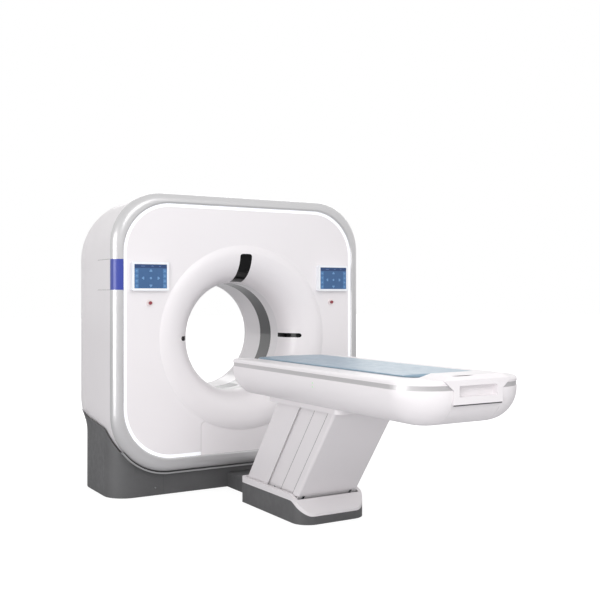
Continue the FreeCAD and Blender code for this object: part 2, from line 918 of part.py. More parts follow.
def belt_shape():
    """A flat belt round the drum and the motor pulley, a gap off both."""
    centre = motor_centre()
    span = Vector(centre.x, 0, centre.z - dim.iso_height)
    heading = math.atan2(span.z, span.x)
    y_low = dim.drum_front + (dim.drum_thickness - dim.belt_width) / 2

    def loop(extra):
        big = dim.drum_outer + extra
        small = dim.pulley_radius + extra
        turn = math.acos((big - small) / span.Length)
        spots = []
        for origin, radius in ((iso, big), (centre, small)):
            pair = []
            for sign in (1, -1):
                angle = heading + sign * turn
                pair.append(Vector(origin.x + radius * math.cos(angle), y_low,
                                   origin.z + radius * math.sin(angle)))
            spots.append(pair)
        far = Vector(-big * math.cos(heading), y_low, dim.iso_height - big * math.sin(heading))
        near = Vector(centre.x + small * math.cos(heading), y_low,
                      centre.z + small * math.sin(heading))
        wire = Part.Wire([
            Part.Arc(spots[0][0], far, spots[0][1]).toShape(),
            Part.LineSegment(spots[0][1], spots[1][1]).toShape(),
            Part.Arc(spots[1][1], near, spots[1][0]).toShape(),
            Part.LineSegment(spots[1][0], spots[0][0]).toShape()])
        return Part.Face(wire).extrude(Vector(0, dim.belt_width, 0))

    return loop(dim.belt_gap + dim.belt_thickness).cut(loop(dim.belt_gap))


def make_drive():
    centre = motor_centre()
    rear = dim.frame_front + dim.frame_thickness
    pulley = tube_y(dim.pulley_radius, 0, dim.drum_front, dim.drum_front + dim.drum_thickness, centre)
    shaft = tube_y(dim.shaft_radius, 0, dim.drum_front, rear + dim.shaft_reach, centre)
    feature("motor_pulley", pulley.fuse(shaft))
    motor_end = rear + dim.motor_length
    motor = tube_y(dim.motor_radius, 0, rear, motor_end, centre)
    rim = edges_at(motor, lambda spot, edge: abs(spot.y - motor_end) < 0.01)
    motor = motor.makeChamfer(dim.motor_chamfer, rim)
    motor = motor.cut(tube_y(dim.shaft_radius + dim.pin_clearance, 0, rear - 1,
                             rear + dim.shaft_bore_depth, centre))
    feature("drive_motor", motor)
    feature("drive_belt", belt_shape())


def rollers_shape():
    middle = (dim.bearing_inner_race + dim.bearing_outer_race) / 2
    radius = (dim.bearing_outer_race - dim.bearing_inner_race) / 2 - dim.roller_clearance
    start = dim.drum_front + dim.drum_thickness + dim.bearing_ring_offset + dim.roller_inset
    rollers = []
    count = int(dim.roller_count)
    for index in range(count):
        angle = 2 * math.pi * index / count
        centre = Vector(middle * math.cos(angle), 0, dim.iso_height + middle * math.sin(angle))
        rollers.append(tube_y(radius, 0, start, start + dim.roller_length, centre))
    return Part.makeCompound(rollers)


def ring_segment(inner, outer, half_angle, y_start, y_end, centre):
    """A piece of a ring that hangs straight below a centre."""
    ring = tube_y(outer, inner, y_start, y_end, centre)
    reach = 2 * outer
    spread = reach * math.tan(math.radians(half_angle))
    wedge = prism_y([(0, centre.z, 0), (-spread, centre.z - reach, 0), (spread, centre.z - reach, 0)],
                    y_start - 1, y_end + 1)
    return ring.common(wedge)


def make_rotor():
    face = dim.drum_front
    drum_back = "sizes.drum_front + sizes.drum_thickness"
    sized_ring("rotor_drum", "sizes.drum_outer", "sizes.drum_inner", "sizes.drum_thickness",
               "sizes.drum_front")
    sized_ring("bearing_inner_ring", "sizes.bearing_inner_race", "sizes.bearing_inner_bore",
               "sizes.bearing_ring_depth", drum_back)
    sized_ring("bearing_outer_ring", "sizes.bearing_outer_rim", "sizes.bearing_outer_race",
               "sizes.frame_front - sizes.drum_front - sizes.drum_thickness - sizes.bearing_ring_offset",
               drum_back + " + sizes.bearing_ring_offset")
    feature("bearing_rollers", rollers_shape())
    sized_ring("slip_ring", "sizes.slip_outer", "sizes.drum_inner",
               "sizes.frame_front + sizes.frame_thickness - sizes.drum_front - sizes.drum_thickness",
               drum_back)
    rear = dim.frame_front + dim.frame_thickness
    start = dim.frame_front - dim.brush_lead
    brush_room = block(-dim.brush_half_width, dim.brush_half_width, start, rear, dim.iso_height, BIG)
    brush = tube_y(dim.frame_hole, dim.slip_outer + dim.belt_gap, start, rear)
    feature("brush_block", brush.common(brush_room))
    centre = Vector(0, 0, dim.iso_height + dim.tube_up)
    tube = tube_y(dim.tube_radius, 0, face - dim.tube_length, face, centre)
    ends = edges_at(tube, lambda spot, edge: abs(spot.y - (face - dim.tube_length)) < 0.01)
    tube = tube.makeFillet(dim.tube_roll, ends)
    feature("xray_tube", tube)
    top = dim.iso_height + dim.tube_up
    low = dim.iso_height + dim.drum_inner
    wide = dim.collimator_low_half
    narrow = dim.collimator_top_half
    collimator = prism_y([(-wide, low, 0), (wide, low, 0), (narrow, top, 0), (-narrow, top, 0)],
                         -narrow, face)
    feature("collimator", collimator.cut(tube))
    focus = Vector(0, 0, dim.iso_height + dim.focus_up)
    feature("detector_arc", ring_segment(dim.detector_radius, dim.detector_radius + dim.detector_depth,
                                         dim.detector_half_angle, -dim.detector_width / 2, face, focus))
    feature("counterweight", ring_segment(dim.counterweight_inner, dim.counterweight_outer,
                                          dim.counterweight_half_angle,
                                          -dim.counterweight_front, face, iso))
    half = dim.module_height / 2
    low_text = "sizes.iso_height - sizes.module_height / 2"
    lengths = ("sizes.module_width", "sizes.module_depth", "sizes.module_height")
    depth_text = "sizes.drum_front - sizes.module_depth"
    sized_box("data_module", lengths,
              ("sizes.module_out - sizes.module_width / 2", depth_text, low_text))
    outer = dim.module_across + dim.module_width / 2
    fins = block(-outer, -outer + dim.module_width + dim.generator_extra, face - dim.module_depth, face,
                 dim.iso_height - half, dim.iso_height + half)
    for step in range(int(dim.fin_count)):
        height = dim.iso_height - half + dim.fin_start + step * dim.fin_pitch
        fins = fins.cut(block(-outer - 1, -outer + dim.fin_depth, -BIG, BIG,
                              height, height + dim.fin_gap))
    feature("voltage_generator", fins)
    feature("stator_frame", stator_frame_shape())


# ---------------------------------------------------------------- gantry base

def base_plan(half, back, grow):
    """The base's plan outline for one half-width and one rear end."""
    front = front_y + dim.base_front_inset - grow
    rear = back + grow
    front_corner = dim.base_front_corner + grow
    rear_corner = dim.base_rear_corner + grow
    side = half + grow
    return [(-side, front, front_corner), (side, front, front_corner),
            (side, rear, rear_corner), (-side, rear, rear_corner)]


def base_side_profile():
    """The base seen from the side: a rear horn and a top edge that falls to the front."""
    front = front_y + dim.base_front_inset
    rear = dim.base_rear + 1
    ear = dim.base_ear_height
    wall = dim.base_wall_height
    horn = dim.horn_rear
    return [(front, 0, 0), (rear, 0, 0), (rear, ear, 0), (horn, ear, 0),
            (horn - dim.horn_run, ear - dim.horn_drop, dim.horn_bend),
            (front + dim.front_run, wall + dim.front_rise, dim.front_bend), (front, wall, 0)]


def gantry_base_shape():
    flare_low = dim.base_flare_start
    ear_top = dim.base_ear_height
    foot = base_plan(base_half, dim.base_foot_rear, 0)
    lower = prism_z(foot, 0, flare_low)
    flare_steps = []
    for share in (0, 0.5, 1):
        half = base_half + (ear_half - base_half) * share ** 2
        back = dim.base_foot_rear + (dim.base_rear - dim.base_foot_rear) * share ** 2
        height = flare_low + (ear_top - flare_low) * share
        corners = base_plan(half, back, 0)
        flare_steps.append(rounded_wire(corners, lambda a, b, z=height: Vector(a, b, z)))
    upper = Part.makeLoft(flare_steps, True, False)
    shape = lower.fuse(upper)
    shape = shape.common(prism_x(base_side_profile(), -BIG, BIG))
    gap = dim.base_gap
    shape = shape.cut(housing_room(gap))
    wall = dim.base_wall
    hollow_top = outline_low(bezel_outer + gap) - dim.base_top_wall
    hollow = prism_z(base_plan(base_half, dim.base_foot_rear, -wall), -1, hollow_top)
    return shape.cut(hollow).cut(leg_boxes(dim.cover_seam))


def floor_plate_shape():
    wall = dim.base_wall
    shape = prism_z(base_plan(base_half, dim.base_foot_rear, -wall), 0, dim.plate_thickness)
    for across in (dim.anchor_inset - base_half, base_half - dim.anchor_inset):
        for along in (-dim.anchor_along, dim.anchor_along):
            shape = shape.cut(Part.makeCylinder(dim.anchor_radius, 2 * dim.plate_thickness,
                                                Vector(across, along, -1), UPWARD))
    return shape


def base_lip_shape():
    face = front_y + dim.base_front_inset
    start = face - dim.lip_depth
    inner = bezel_outer + dim.lip_offset
    shape = prism_y(outline(inner + dim.lip_height), start, face)
    shape = shape.cut(prism_y(outline(inner), start - 1, face + 1))
    return shape.common(block(-BIG, BIG, -BIG, BIG, 0, dim.base_wall_height - 40))


def gland_shape():
    spot = Vector(dim.leg_across, 0, dim.gland_up)
    start = dim.base_foot_rear
    face = start + dim.gland_flange
    flange = tube_y(dim.gland_radius, dim.gland_bore, start, face, spot)
    nut = prism_y([(spot.x + dim.gland_nut_radius * math.cos(math.pi / 3 * turn),
                    spot.z + dim.gland_nut_radius * math.sin(math.pi / 3 * turn), 0)
                   for turn in range(6)], face, start + dim.gland_length)
    nut = nut.cut(tube_y(dim.gland_bore, 0, start, start + dim.gland_length + 1, spot))
    return flange.fuse(nut)


def make_base():
    feature("gantry_base", gantry_base_shape())
    feature("floor_plate", floor_plate_shape())
    feature("base_lip", base_lip_shape())
    feature("supply_gland", gland_shape())


# ---------------------------------------------------------------- pedestal

def pedestal_plan(grow, rear=None):
    """The pedestal's plan outline, rounded at the foot."""
    half = dim.pedestal_half_width + grow
    foot = -dim.pedestal_foot - grow
    end = -dim.pedestal_rear + grow if rear is None else rear
    corner = dim.pedestal_foot_corner + grow
    back = max(dim.pedestal_rear_corner + grow, 1)
    return [(-half, foot, corner), (half, foot, corner), (half, end, back), (-half, end, back)]


def skirt_profile(grow, low):
    """The line where the skirt stops, seen from the side, as a closed outline above a level."""
    foot = -dim.pedestal_foot - 2
    rear = -dim.pedestal_rear + 2
    high = dim.skirt_height + grow
    drop = dim.skirt_foot_height + grow
    bend = (dim.skirt_drop_end - dim.skirt_drop_start) * 0.8
    return [(foot, low, 0), (rear, low, 0), (rear, high, 0), (-dim.skirt_drop_start, high, bend),
            (-dim.skirt_drop_end, drop, bend / 5), (foot, drop, 0)]


def pedestal_skirt_shape():
    inner = prism_z(pedestal_plan(-dim.skirt_wall), -1, dim.pedestal_top)
    shape = prism_z(pedestal_plan(0), 0, dim.pedestal_top).cut(inner)
    return shape.common(prism_x(skirt_profile(0, 0), -BIG, BIG))


def pedestal_cover_shape():
    """The white cover over the pedestal: side walls, and a ramp at the foot end."""
    foot = -dim.pedestal_foot - 2
    well = -dim.well_foot
    top = dim.pedestal_top
    solid = prism_z(pedestal_plan(0), 0, top)
    ramp = [(foot, 0, 0), (0, 0, 0), (0, top, 0), (-dim.pedestal_rear + 2, top, 0),
            (well + dim.well_run, top, dim.well_bend), (well, dim.ramp_top, dim.ramp_bend),
            (foot, dim.ramp_foot, 0)]
    solid = solid.common(prism_x(ramp, -BIG, BIG))
    upper = solid.cut(prism_x(skirt_profile(dim.seam, -10), -BIG, BIG))
    wall = dim.skirt_wall
    room = prism_z(pedestal_plan(-wall), -1, dim.pedestal_top + 1)
    drop = -wall
    under = [(a, b + drop, r) for a, b, r in ramp]
    under[0] = (foot, -1, 0)
    under[1] = (0, -1, 0)
    room = room.common(prism_x(under, -BIG, BIG))
    half = dim.well_half_width
    well_room = block(-half, half, -dim.well_foot, -dim.well_rear, 0, top + 1)
    tongue = prism_z(pedestal_plan(-wall), dim.skirt_foot_height, dim.skirt_height + 2 * dim.tongue_overlap)
    tongue = tongue.cut(prism_z(pedestal_plan(-2 * wall), 0, BIG))
    tongue = tongue.common(prism_x(ramp, -BIG, BIG))
    tongue_low = dim.skirt_height - dim.tongue_overlap
    tongue = tongue.cut(prism_x([(foot, 0, 0), (0, 0, 0), (0, tongue_low, 0),
                                 (-dim.skirt_drop_start, tongue_low, dim.ramp_bend),
                                 (-dim.skirt_drop_end, dim.tongue_drop, 0),
                                 (foot, dim.tongue_drop, 0)], -BIG, BIG))
    return upper.cut(room).fuse(tongue).cut(well_room)


def trunk_cover_shape():
    """The low cover over the cables between the pedestal and the gantry."""
    half = dim.trunk_half_width
    high = dim.trunk_height
    roll = dim.trunk_roll
    wall = dim.skirt_wall
    start = -dim.pedestal_rear
    end = front_y + dim.base_front_inset
    outer = [(-half, 0, 0), (half, 0, 0), (half, high, roll), (-half, high, roll)]
    inner = [(-half + wall, -1, 0), (half - wall, -1, 0), (half - wall, high - wall, roll - wall),
             (-half + wall, high - wall, roll - wall)]
    return prism_y(outer, start, end).cut(prism_y(inner, start - 1, end + 1))


def bracket(offset_x, shift_y, lift_z, turned):
    """A bracket plate with both its link pins, for the floor frame or (turned) for the table frame."""
    edge = dim.bracket_edge
    thick = dim.bracket_thickness / 2
    low = offset_x - thick
    high = offset_x + thick
    rear = -dim.rear_pivot
    front = -dim.front_pivot
    seat = dim.foot_plate
    pivot = dim.lower_pivot
    if not turned:
        shape = prism_x([(front, seat, 0), (rear + edge, seat, 0), (rear + edge, pivot + edge, edge),
                         (front, pivot + edge, edge)], low, high)
        shape = shape.fuse(rod_x(edge, low, high, front, pivot))
    else:
        rear += shift_y
        front += shift_y
        pivot = lift_z
        seat = dim.frame_plate_low
        shape = prism_x([(front - edge, pivot - edge, edge), (rear, pivot - edge, 0), (rear, seat, 0),
                         (front - edge, seat, 0)], low, high)
        shape = shape.fuse(rod_x(edge, low, high, rear, pivot))
    return shape


def linkage_frame(turned):
    """Two bracket plates with the arm pins across them and the stub pins for the slats."""
    shift = -lean_shift if turned else 0
    level = upper_pivot if turned else dim.lower_pivot
    offset = dim.bracket_across + dim.bracket_thickness / 2
    shape = bracket(offset, shift, level, turned)
    outer = dim.bracket_across + dim.bracket_thickness
    aft_end = dim.column_half_width - 3 * dim.slat_step
    shape = shape.fuse(rod_x(dim.stub_radius, outer - 1, aft_end, -dim.aft_pivot + shift, level))
    shape = shape.fuse(rod_x(dim.stub_radius, outer - 1, outer + dim.stub_reach,
                             -dim.fore_pivot + shift, level))
    shape = shape.fuse(mirrored(shape))
    for along in (dim.rear_pivot, dim.front_pivot):
        shape = shape.fuse(rod_x(dim.pin_radius, -offset, offset, -along + shift, level))
    return shape


def pedestal_frame_shape():
    shape = linkage_frame(False)
    return shape.fuse(prism_z(pedestal_plan(-dim.skirt_wall), 0, dim.foot_plate))


# ---------------------------------------------------------------- lift arms and their covers

def leaned(shape, pivot):
    """Stands a shape drawn along Z on a lower pivot, leaning to the foot of the table."""
    shape = shape.copy()
    shape.rotate(Vector(0, 0, 0), ACROSS, dim.lean)
    shape.translate(Vector(0, -pivot, dim.lower_pivot))
    return shape


def trimmed(shape):
    """Cuts a leaning cover level, just below the lower pivots and just above the upper ones."""
    low = dim.lower_pivot - dim.slat_trim
    high = upper_pivot + dim.slat_trim
    return shape.common(block(-BIG, BIG, -BIG, BIG, low, high))


def arm_pair(toward_foot, toward_rear, tube_offset, pivot):
    """Two link arms with pin holes at both ends, tied by a cross tube."""
    edge = dim.bracket_edge
    end = link_length + edge
    low = dim.arm_across
    high = dim.arm_across + dim.arm_thickness
    hole = dim.pin_radius + dim.pin_clearance
    arm = prism_x([(-toward_foot, -edge, edge), (toward_rear, -edge, edge),
                   (toward_rear, end, edge), (-toward_foot, end, edge)], low, high)
    for reach in (0, link_length):
        arm = arm.cut(rod_x(hole, low - 1, high + 1, 0, reach))
    middle = link_length / 2
    tube = rod_x(dim.cross_tube_radius, -low - 1, low + 1, tube_offset, middle)
    shape = arm.fuse(mirrored(arm)).fuse(tube)
    shape = shape.cut(rod_x(dim.cross_tube_bore, -high - 1, high + 1, tube_offset, middle))
    return leaned(shape, pivot)


def channel_cover(half, back, reach, corner, turned):
    """A cover of one broad face and two side walls, drawn along Z round a link's own line."""
    wall = dim.slat_wall
    side = -1 if turned else 1
    outer = [(-half, side * back, corner), (half, side * back, corner),
             (half, -side * reach, 0), (-half, -side * reach, 0)]
    inner = [(-half + wall, side * (back - wall - 1), corner - wall),
             (half - wall, side * (back - wall - 1), corner - wall),
             (half - wall, -side * (reach + 1), 0), (-half + wall, -side * (reach + 1), 0)]
    start = -dim.lift_rise
    end = 2 * link_length
    return prism_z(outer, start, end).cut(prism_z(inner, start - 1, end + 1))


def slat_pair(inner, back, reach, holes, flange):
    """Two flat side covers, pivoted at both ends on round pins."""
    outer = inner + dim.slat_wall
    start = -dim.lift_rise
    end = 2 * link_length
    lug_inner = dim.bracket_across + dim.bracket_thickness + dim.lug_gap
    lug_outer = lug_inner + dim.lug_thickness
    wall = block(inner, outer, -reach, back, start, end)
    if flange:
        wall = wall.fuse(block(lug_inner, outer, -reach, -reach + dim.slat_wall, start, end))
    wall = trim_local(wall)
    hole = dim.stub_radius + dim.pin_clearance
    for along in holes:
        if flange:
            edge = dim.lug_edge
            lug = prism_x([(-reach, along - edge, 0), (edge, along - edge, edge),
                           (edge, along + edge, edge), (-reach, along + edge, 0)],
                          lug_inner, lug_outer)
            wall = wall.fuse(trim_local(lug))
        wall = wall.cut(rod_x(hole, lug_inner - 1, 1 + (lug_outer if flange else outer), 0, along))
    return wall.fuse(mirrored(wall))


def trim_local(shape):
    """The level trim, made on a shape that still stands on its own link's line."""
    low = -dim.slat_trim
    high = dim.lift_rise + dim.slat_trim
    slab = block(-BIG, BIG, -BIG, BIG, low, high)
    slab.rotate(Vector(0, 0, 0), ACROSS, -dim.lean)
    return shape.common(slab)


def make_lift():
    back = dim.rear_cover_back
    feature("rear_arms", arm_pair(dim.rear_arm_reach, back - dim.cover_space, dim.rear_tube_offset,
                                  dim.rear_pivot))
    half = dim.column_half_width
    rear = channel_cover(half - dim.slat_step, back, dim.rear_cover_reach, dim.rear_cover_corner, False)
    feature("rear_lift_cover", trimmed(leaned(rear, dim.rear_pivot)))
    front_back = dim.foot_cover_reach
    feature("front_arms", arm_pair(front_back - dim.cover_space, dim.front_arm_reach,
                                   dim.front_tube_offset, dim.front_pivot))
    foot = channel_cover(half, front_back, dim.foot_cover_back, dim.foot_cover_corner, True)
    feature("foot_lift_cover", trimmed(leaned(foot, dim.front_pivot)))
    ends = (0, link_length)
    fore_inner = half - 2 * dim.slat_step - dim.slat_wall
    aft_inner = half - 3 * dim.slat_step - dim.slat_wall
    fore = slat_pair(fore_inner, dim.fore_slat_back, dim.fore_slat_reach, ends, True)
    feature("fore_side_slats", leaned(fore, dim.fore_pivot))
    aft = slat_pair(aft_inner, dim.aft_slat_back, dim.aft_slat_reach, ends, False)
    feature("aft_side_slats", leaned(aft, dim.aft_pivot))


def lift_gearbox_shape():
    """The sealed geared motor that stands between the arms."""
    floor = dim.foot_plate
    half = dim.gearbox_half_width
    radius = dim.lift_motor_radius
    axis = floor + dim.gearbox_height / 2
    shape = block(-half, half, -dim.gearbox_foot, -dim.gearbox_rear, floor, floor + dim.gearbox_height)
    rims = edges_at(shape, lambda spot, edge: spot.z > floor + 1)
    shape = shape.makeFillet(dim.gearbox_roll, rims)
    motor = rod_x(radius, -half, dim.lift_motor_reach, -dim.lift_motor_rear, axis)
    neck = block(-half + radius, radius / 2, -dim.gearbox_rear - 1, -dim.lift_motor_rear,
                 axis - radius, axis + radius / 2)
    return shape.fuse(motor).fuse(neck)


def make_pedestal():
    feature("pedestal_skirt", pedestal_skirt_shape())
    feature("pedestal_cover", pedestal_cover_shape())
    feature("trunk_cover", trunk_cover_shape())
    feature("pedestal_frame", pedestal_frame_shape())
    feature("lift_gearbox", lift_gearbox_shape())


# ---------------------------------------------------------------- table

def table_plan(inset, head_corner):
    """The table's plan outline."""
    half = dim.table_half_width - inset
    foot = -dim.table_foot + inset
    head = -dim.table_head - inset
    corner = dim.table_foot_corner - inset
    return [(-half, foot, corner), (half, foot, corner),
            (half, head, head_corner), (-half, head, head_corner)]


def belly(inset):
    """The table's lower body, rolled underneath and at the head end."""
    low = dim.belly_low + inset
    shape = prism_z(table_plan(inset, 0), low, dim.table_seam + (1 if inset else 0))
    head = -dim.table_head - inset
    under = edges_at(shape, lambda spot, edge: abs(spot.z - low) < 0.01 and abs(spot.y - head) > 1)
    shape = shape.makeFillet(dim.belly_roll - inset, under)
    top = shape.BoundBox.ZMax
    face = edges_at(shape, lambda spot, edge: abs(spot.y - head) < 0.01 and abs(spot.z - top) > 0.5)
    return shape.makeFillet(dim.table_head_corner - inset, face)


def foot_seam(across):
    """The groove of a vertical joint in the shell's foot, below the end cap."""
    half = dim.foot_seam_width / 2
    room = block(across - half, across + half, -BIG, -dim.table_foot + dim.belly_roll,
                 dim.belly_low - 1, dim.cap_low)
    return room.cut(belly(dim.foot_seam_depth))


def collar_room(low, high):
    """The opening in the table's underside that the column stands in."""
    half = dim.well_half_width
    return block(-half, half, dim.collar_wall - dim.collar_foot, -dim.collar_rear - dim.collar_wall,
                 low, high)


def table_shell_shape():
    shape = belly(0).cut(belly(dim.table_wall))
    for across in (-dim.cap_half_width, dim.cap_half_width):
        shape = shape.cut(foot_seam(across))
    opening = collar_room(dim.belly_low - 1, dim.belly_low + 2 * dim.table_wall)
    cap_half = dim.cap_half_width + dim.cap_gap
    window = block(-cap_half, cap_half, -dim.table_foot - 1, -dim.table_foot + dim.cap_body / 2,
                   dim.cap_low, dim.table_seam + 1)
    return shape.cut(opening).cut(window)


def lift_collar_shape():
    half = dim.collar_half_width
    corner = dim.collar_corner
    foot = -dim.collar_foot
    rear = -dim.collar_rear
    top = dim.belly_low + dim.collar_wall
    shape = prism_z([(-half, foot, corner), (half, foot, corner), (half, rear, corner),
                     (-half, rear, corner)], dim.collar_low, top)
    return shape.cut(collar_room(dim.collar_low - 1, top + 1)).cut(belly(0))


def side_trim_shape():
    low = dim.table_seam
    high = low + dim.trim_height
    recess = dim.trim_recess
    shape = prism_z(table_plan(recess, dim.table_head_corner), low, high)
    wall = dim.trim_wall
    shape = shape.cut(prism_z(table_plan(recess + wall, dim.table_head_corner - wall), low - 1, high + 1))
    half = dim.cap_half_width + dim.cap_gap
    shape = shape.cut(block(-half, half, -BIG, -dim.table_foot + 100, low - 1, high + 1))
    channel = dim.channel_half_width
    shape = shape.cut(block(-channel, channel, -dim.table_head - 60, BIG, low - 1, high + 1))
    return shape.cut(cap_solid(dim.cap_gap))


def cap_top_corners(inset):
    """The plan of the end cap's top, drawn in by an inset."""
    foot = -dim.table_foot - dim.cap_inset + inset / 2
    rear = -dim.cap_rear - inset
    half = dim.cap_shoulder - inset
    rear_half = dim.cap_rear_half_width - inset
    corner = dim.cap_corner
    return [(-half, foot, corner / 2), (half, foot, corner / 2), (rear_half, rear, corner),
            (-rear_half, rear, corner)]


def cap_solid(grow):
    """The end cap's outer form: a body at the foot, shoulders, and a crowned top back to the pad."""
    half = dim.cap_half_width + grow
    foot = -dim.table_foot - dim.cap_inset
    wide = dim.cap_shoulder + grow
    seam = dim.table_seam
    deck_top = seam + dim.trim_height + dim.deck_height
    face = [(-half, dim.cap_low - grow, 0), (half, dim.cap_low - grow, 0), (half, seam, 0),
            (wide, deck_top - dim.table_wall, 0), (wide, deck_top, 0), (-wide, deck_top, 0),
            (-wide, deck_top - dim.table_wall, 0), (-half, seam, 0)]
    body = prism_y(face, foot, foot + dim.cap_body + grow)
    top = prism_z(cap_top_corners(-grow), deck_top - dim.table_wall - grow, deck_top)
    shape = body.fuse(top)
    if grow:
        return shape
    wires = [rounded_wire(cap_top_corners(inset), lambda a, b, z=level: Vector(a, b, z))
             for inset, level in ((0, deck_top), (dim.cap_slope, dim.cap_top))]
    crown = Part.makeLoft(wires, True, True)
    rims = edges_at(crown, lambda spot, edge: abs(spot.z - dim.cap_top) < 0.01)
    return shape.fuse(crown.makeFillet(dim.cap_roll, rims)).removeSplitter()


def end_cap_shape():
    shape = cap_solid(0)
    half = dim.cap_half_width
    wall = dim.table_wall
    foot = -dim.table_foot - dim.cap_inset
    hollow_start = foot + dim.recess_depth + wall
    shape = shape.cut(block(-half + wall, half - wall, hollow_start, foot + dim.cap_body + 1,
                            dim.cap_low - 1, dim.cap_top - 3 * wall))
    recess_half = dim.recess_half_width
    low = dim.recess_low
    high = low + dim.recess_height
    corner = dim.recess_corner
    recess = prism_y([(-recess_half, low, corner), (recess_half, low, corner),
                      (recess_half, high, corner), (-recess_half, high, corner)],
                     foot - 1, foot + dim.recess_depth)
    return shape.cut(recess)


def table_deck_shape():
    low = dim.table_seam + dim.trim_height
    high = low + dim.deck_height
    wall = dim.table_wall
    corner = dim.table_head_corner
    shape = prism_z(table_plan(0, corner), low, high)
    rim = edges_at(shape, lambda spot, edge: abs(spot.z - high) < 0.01)
    shape = shape.makeFillet(dim.deck_roll, rim)
    half = dim.channel_half_width
    bend = dim.channel_corner
    channel = prism_z([(-half, -dim.channel_foot, bend), (half, -dim.channel_foot, bend),
                       (half, 0, 0), (-half, 0, 0)], low - 1, high + 1)
    shape = shape.cut(channel)
    hollow = prism_z(table_plan(2 * wall, corner - 2 * wall), low - 1, high - wall)
    kept = prism_z([(-half - wall, -dim.channel_foot - wall, bend + wall),
                    (half + wall, -dim.channel_foot - wall, bend + wall),
                    (half + wall, 0, 0), (-half - wall, 0, 0)], low - 2, high + 1)
    shape = shape.cut(hollow.cut(kept))
    return shape.cut(cap_solid(dim.cap_gap))


def frame_posts():
    """The feet that the belly rests on, on the right side of the table frame."""
    floor = dim.belly_low + dim.table_wall
    top = dim.frame_plate_low + dim.frame_plate
    half = dim.bracket_across + dim.bracket_thickness
    posts = []
    stay = dim.stay_half_width
    room = belly(dim.table_wall)
    for start, end in ((-dim.foot_post_start, -dim.foot_post_end),
                       (-dim.head_post_start, -dim.head_post_end)):
        posts.append(block(dim.post_inner, dim.post_outer, start, end, floor, top).common(room))
        posts.append(block(half - 1, dim.post_outer, start, end, dim.frame_plate_low, top))
    for end in (-dim.foot_post_end - dim.stay_length, -dim.frame_head):
        posts.append(block(half - stay, half + stay, end - dim.stay_length, end, dim.frame_plate_low,
                           dim.cradle_low - dim.slide_gap))
    return posts


def table_frame_shape():
    shape = linkage_frame(True)
    half = dim.bracket_across + dim.bracket_thickness
    low = dim.frame_plate_low
    high = low + dim.frame_plate
    start = -dim.channel_foot + 14
    end = -dim.frame_head
    shape = shape.fuse(block(-half, half, start, end, low, high))
    rail = block(dim.rail_across, dim.rail_across + dim.rail_width, start, end, high - 1, dim.rail_top)
    shape = shape.fuse(rail).fuse(mirrored(rail))
    for post in frame_posts():
        shape = shape.fuse(post).fuse(mirrored(post))
    return shape


def cradle_plan(inset):
    """The cradle's plan: straight sides and a tapered nose toward the bore."""
    half = dim.cradle_half_width - inset
    nose_half = dim.cradle_nose_width - inset
    foot = -dim.channel_foot + dim.cradle_gap + inset
    head = -dim.cradle_head - inset
    bend = head - dim.cradle_nose
    corner = dim.cradle_foot_corner - inset / 2
    tip = dim.cradle_nose_corner
    return [(-half, foot, corner), (half, foot, corner), (half, bend, dim.cradle_bend),
            (nose_half, head, tip), (-nose_half, head, tip), (-half, bend, dim.cradle_bend)]


def dish_shape(half, top, depth, y_start, y_end):
    """A shallow trough along Y, level at its edges."""
    wire = Part.Wire([
        Part.Arc(Vector(-half, y_start, top), Vector(0, y_start, top - depth),
                 Vector(half, y_start, top)).toShape(),
        Part.LineSegment(Vector(half, y_start, top), Vector(-half, y_start, top)).toShape()])
    return Part.Face(wire).extrude(Vector(0, y_end - y_start, 0))


def cradle_shape():
    foot = -dim.channel_foot + dim.cradle_gap
    shape = prism_z(cradle_plan(0), dim.cradle_low, dim.cradle_top)
    low_rim = edges_at(shape, lambda spot, edge: abs(spot.z - dim.cradle_low) < 0.01)
    shape = shape.makeFillet(dim.cradle_roll, low_rim)
    half = dim.cradle_half_width - dim.pad_inset
    shape = shape.cut(dish_shape(half, dim.cradle_top, dim.cradle_dish, foot - 1, 0))
    runner = block(dim.rail_across + 2, dim.rail_across + dim.rail_width - 2, foot + 14,
                   foot + 14 + dim.runner_length, dim.rail_top + dim.slide_gap, dim.cradle_low + 1)
    return shape.fuse(runner).fuse(mirrored(runner))


def pad_section(y, half, level):
    """One closed section of the pad: a sagging underside, drawn-in sides and a crowned top."""
    full = dim.cradle_half_width - dim.pad_inset
    radius = (full ** 2 + dim.cradle_dish ** 2) / (2 * dim.cradle_dish)
    low_edge = level - dim.cradle_dish + radius - math.sqrt(radius ** 2 - half ** 2)
    thick = dim.pad_thickness
    top_edge = low_edge + thick
    bulge = 3
    edges = [
        Part.Arc(Vector(-half + bulge, y, low_edge), Vector(0, y, level - dim.cradle_dish),
                 Vector(half - bulge, y, low_edge)),
        Part.Arc(Vector(half - bulge, y, low_edge), Vector(half, y, low_edge + thick / 2),
                 Vector(half - bulge, y, top_edge)),
        Part.Arc(Vector(half - bulge, y, top_edge), Vector(0, y, level + dim.pad_crown),
                 Vector(-half + bulge, y, top_edge)),
        Part.Arc(Vector(-half + bulge, y, top_edge), Vector(-half, y, low_edge + thick / 2),
                 Vector(-half + bulge, y, low_edge)),
    ]
    return Part.Wire([edge.toShape() for edge in edges])


def pad_shape():
    half = dim.cradle_half_width - dim.pad_inset
    foot = -dim.channel_foot + dim.cradle_gap + dim.pad_inset
    head = -dim.cradle_head - dim.pad_head_inset
    bend = -dim.cradle_head - dim.cradle_nose - dim.pad_inset
    nose_half = dim.cradle_nose_width + dim.pad_inset
    level = dim.cradle_top
    sections = [(foot, half - 5), (foot + 12, half), (bend, half), (head, nose_half)]
    wires = [pad_section(y, width, level) for y, width in sections]
    return Part.makeLoft(wires, True, True)


